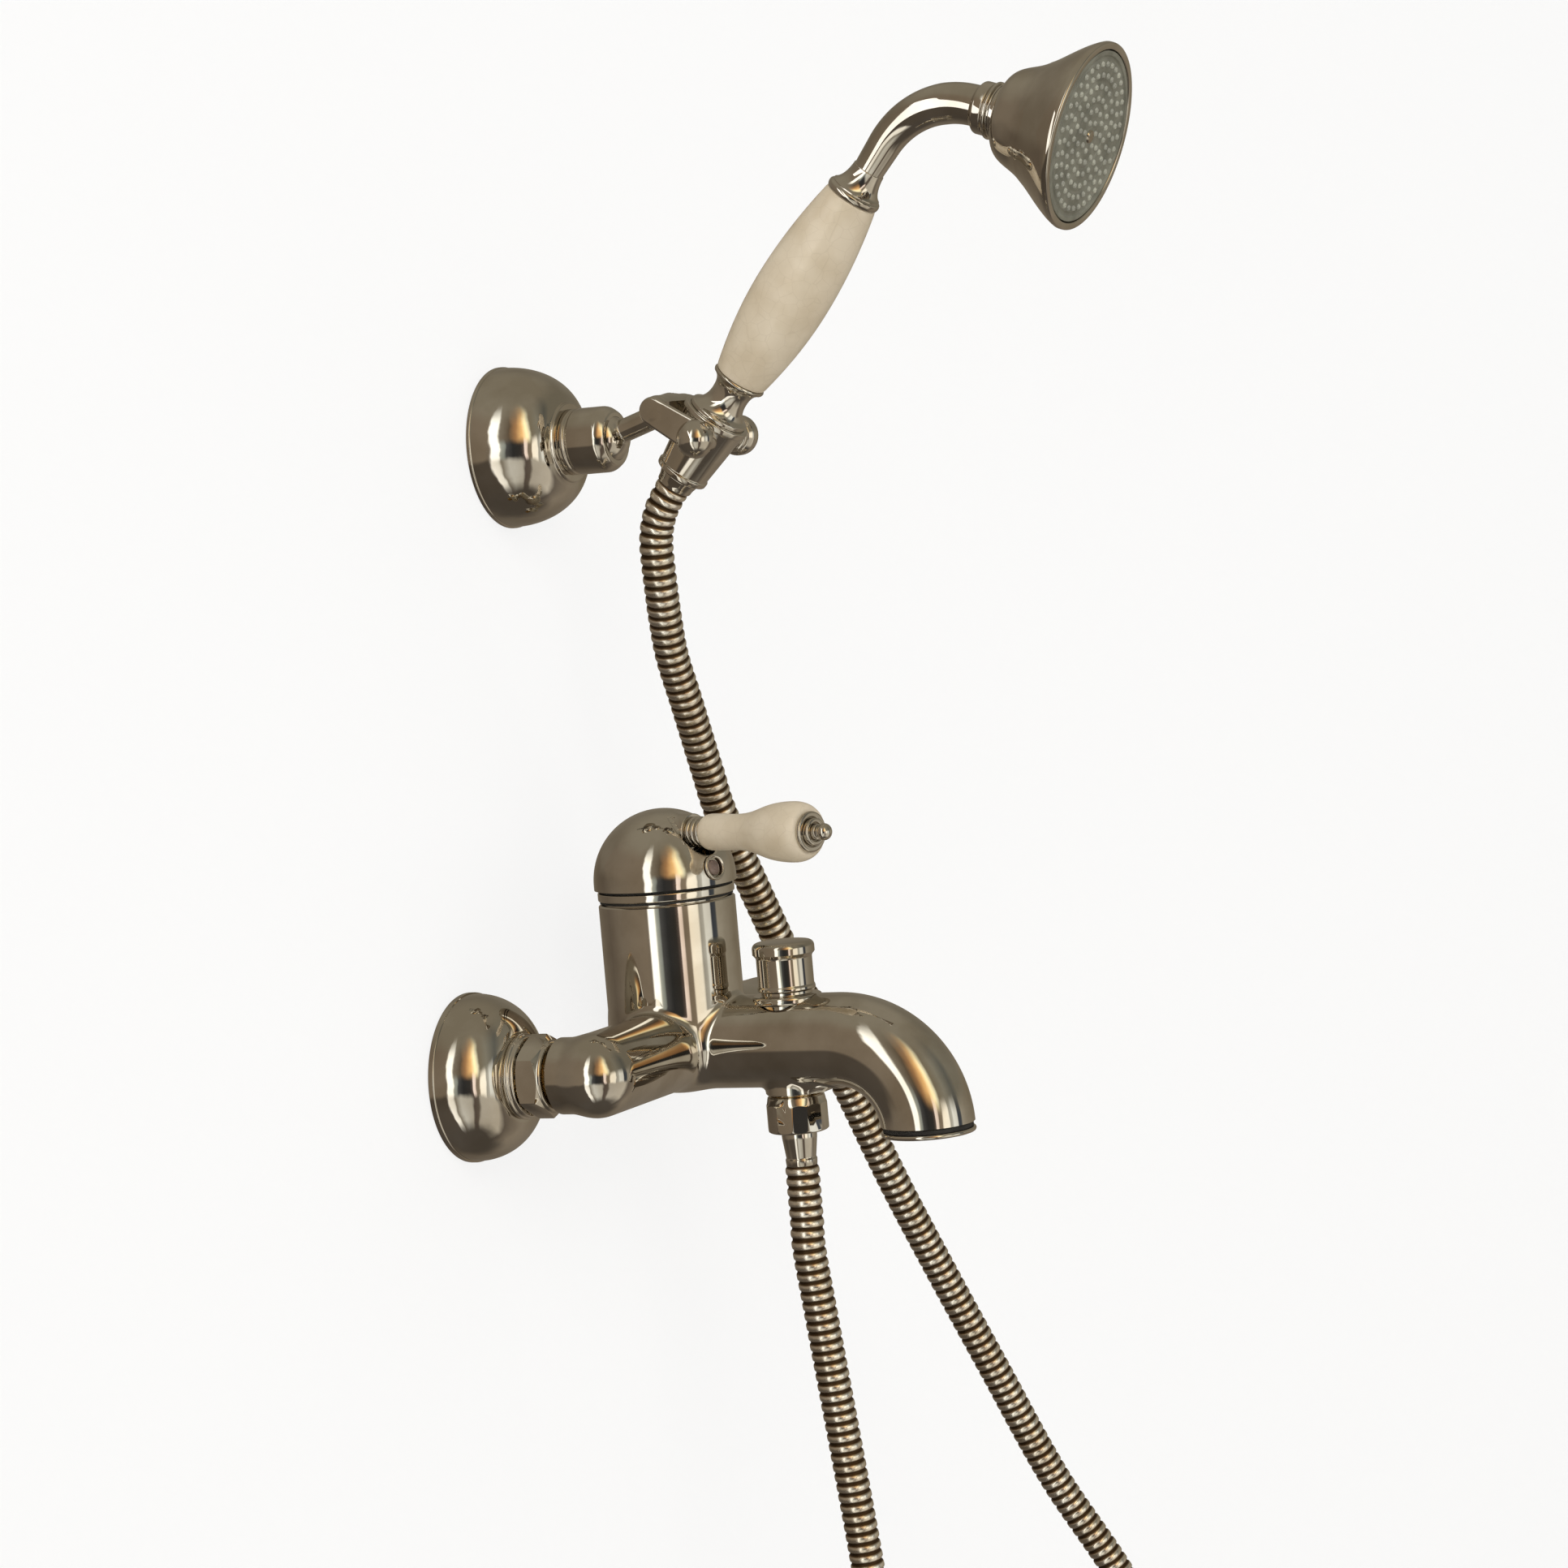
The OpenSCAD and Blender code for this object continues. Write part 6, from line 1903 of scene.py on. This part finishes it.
    def lamp(self, name: str, power: float, size: float, where: Triple, aim: Triple) -> Obj:
        """Add a soft area lamp that no mirror shows.

        Args:
            name: Name of the lamp.
            power: Power in watts.
            size: Width of its square face in metres.
            where: Where it stands.
            aim: Point that it looks at.

        Returns:
            The lamp.
        """
        data = bpy.data.lights.new(name, "AREA")
        data.energy, data.size = power, size
        lamp = bpy.data.objects.new(name, data)
        lamp.location = where
        lamp.rotation_euler = (Vector(aim) - Vector(where)).to_track_quat("-Z", "Y").to_euler()
        lamp.visible_glossy = False
        bpy.context.collection.objects.link(lamp)
        return lamp

    def build(self) -> None:
        """Set up the world, the stage and the lamps."""
        self.world()
        half = self.size / 2
        self.plane("studio_wall", self.wall_tone,
                   Matrix.Translation((0, self.wall_y, self.floor_z + half)) @ turned(90))
        self.plane("studio_floor", self.floor_tone,
                   Matrix.Translation((0, self.wall_y - half, self.floor_z)))
        self.lamp("key_softbox", self.key_power, 1.3, (-1.5, -1.7, 1.6), self.aim)
        self.lamp("fill_softbox", self.fill_power, 1.6, (1.8, -1.9, 0.7), self.aim)
        # A lit strip of wall that only the chrome shows, as the line along the shower's neck.
        glow = self.lamp("wall_glow", self.glow_power, 0.20, (-0.37, 0.0, 0.48),
                         (-0.2265, -0.413, 0.7275))
        glow.data.shape, glow.data.size_y = "RECTANGLE", 0.46
        glow.visible_diffuse, glow.visible_glossy = False, True
        bpy.context.scene.view_settings.view_transform = "Standard"


@dataclass
class Viewpoint:
    """Camera to the left of the mixer, a little above it and slightly rolled."""

    location: Triple = (-1.626, -0.9225, 0.2495)
    aim: Triple = (0.0697, -0.0787, 0.0989)
    roll: float = -5.0
    lens: float = 104.0
    sensor: float = 36.0

    def build(self) -> None:
        """Create the camera and make it the scene's."""
        data = bpy.data.cameras.new("main_camera")
        data.lens, data.sensor_width = self.lens, self.sensor
        camera = bpy.data.objects.new("main_camera", data)
        bpy.context.collection.objects.link(camera)
        ahead = (Vector(self.aim) - Vector(self.location)).normalized()
        right = ahead.cross(Vector((0, 0, 1))).normalized()
        up = right.cross(ahead)
        turn = radians(self.roll)
        level, top = cos(turn) * right + sin(turn) * up, cos(turn) * up - sin(turn) * right
        stand = Matrix((level, top, -ahead)).transposed().to_4x4()
        stand.translation = Vector(self.location)
        camera.matrix_world = stand
        bpy.context.scene.camera = camera


def main() -> None:
    """Build the camera, the hose and its fittings, then every other sub-assembly."""
    logging.basicConfig(level=logging.INFO, format="%(name)s: %(message)s")
    Viewpoint().build()
    shower = HandShower()
    upper_fittings = shower.build()
    lower_fittings = DiverterSet().build()
    ShowerHose().build(lower_fittings, upper_fittings)
    WallUnions().build()
    MixerCasting().build()
    LeverSet().build()
    WallBracket().build(shower.on_axis())
    dress_kept()
    Studio().build()
    deselect()


if __name__ == "__main__":
    main()
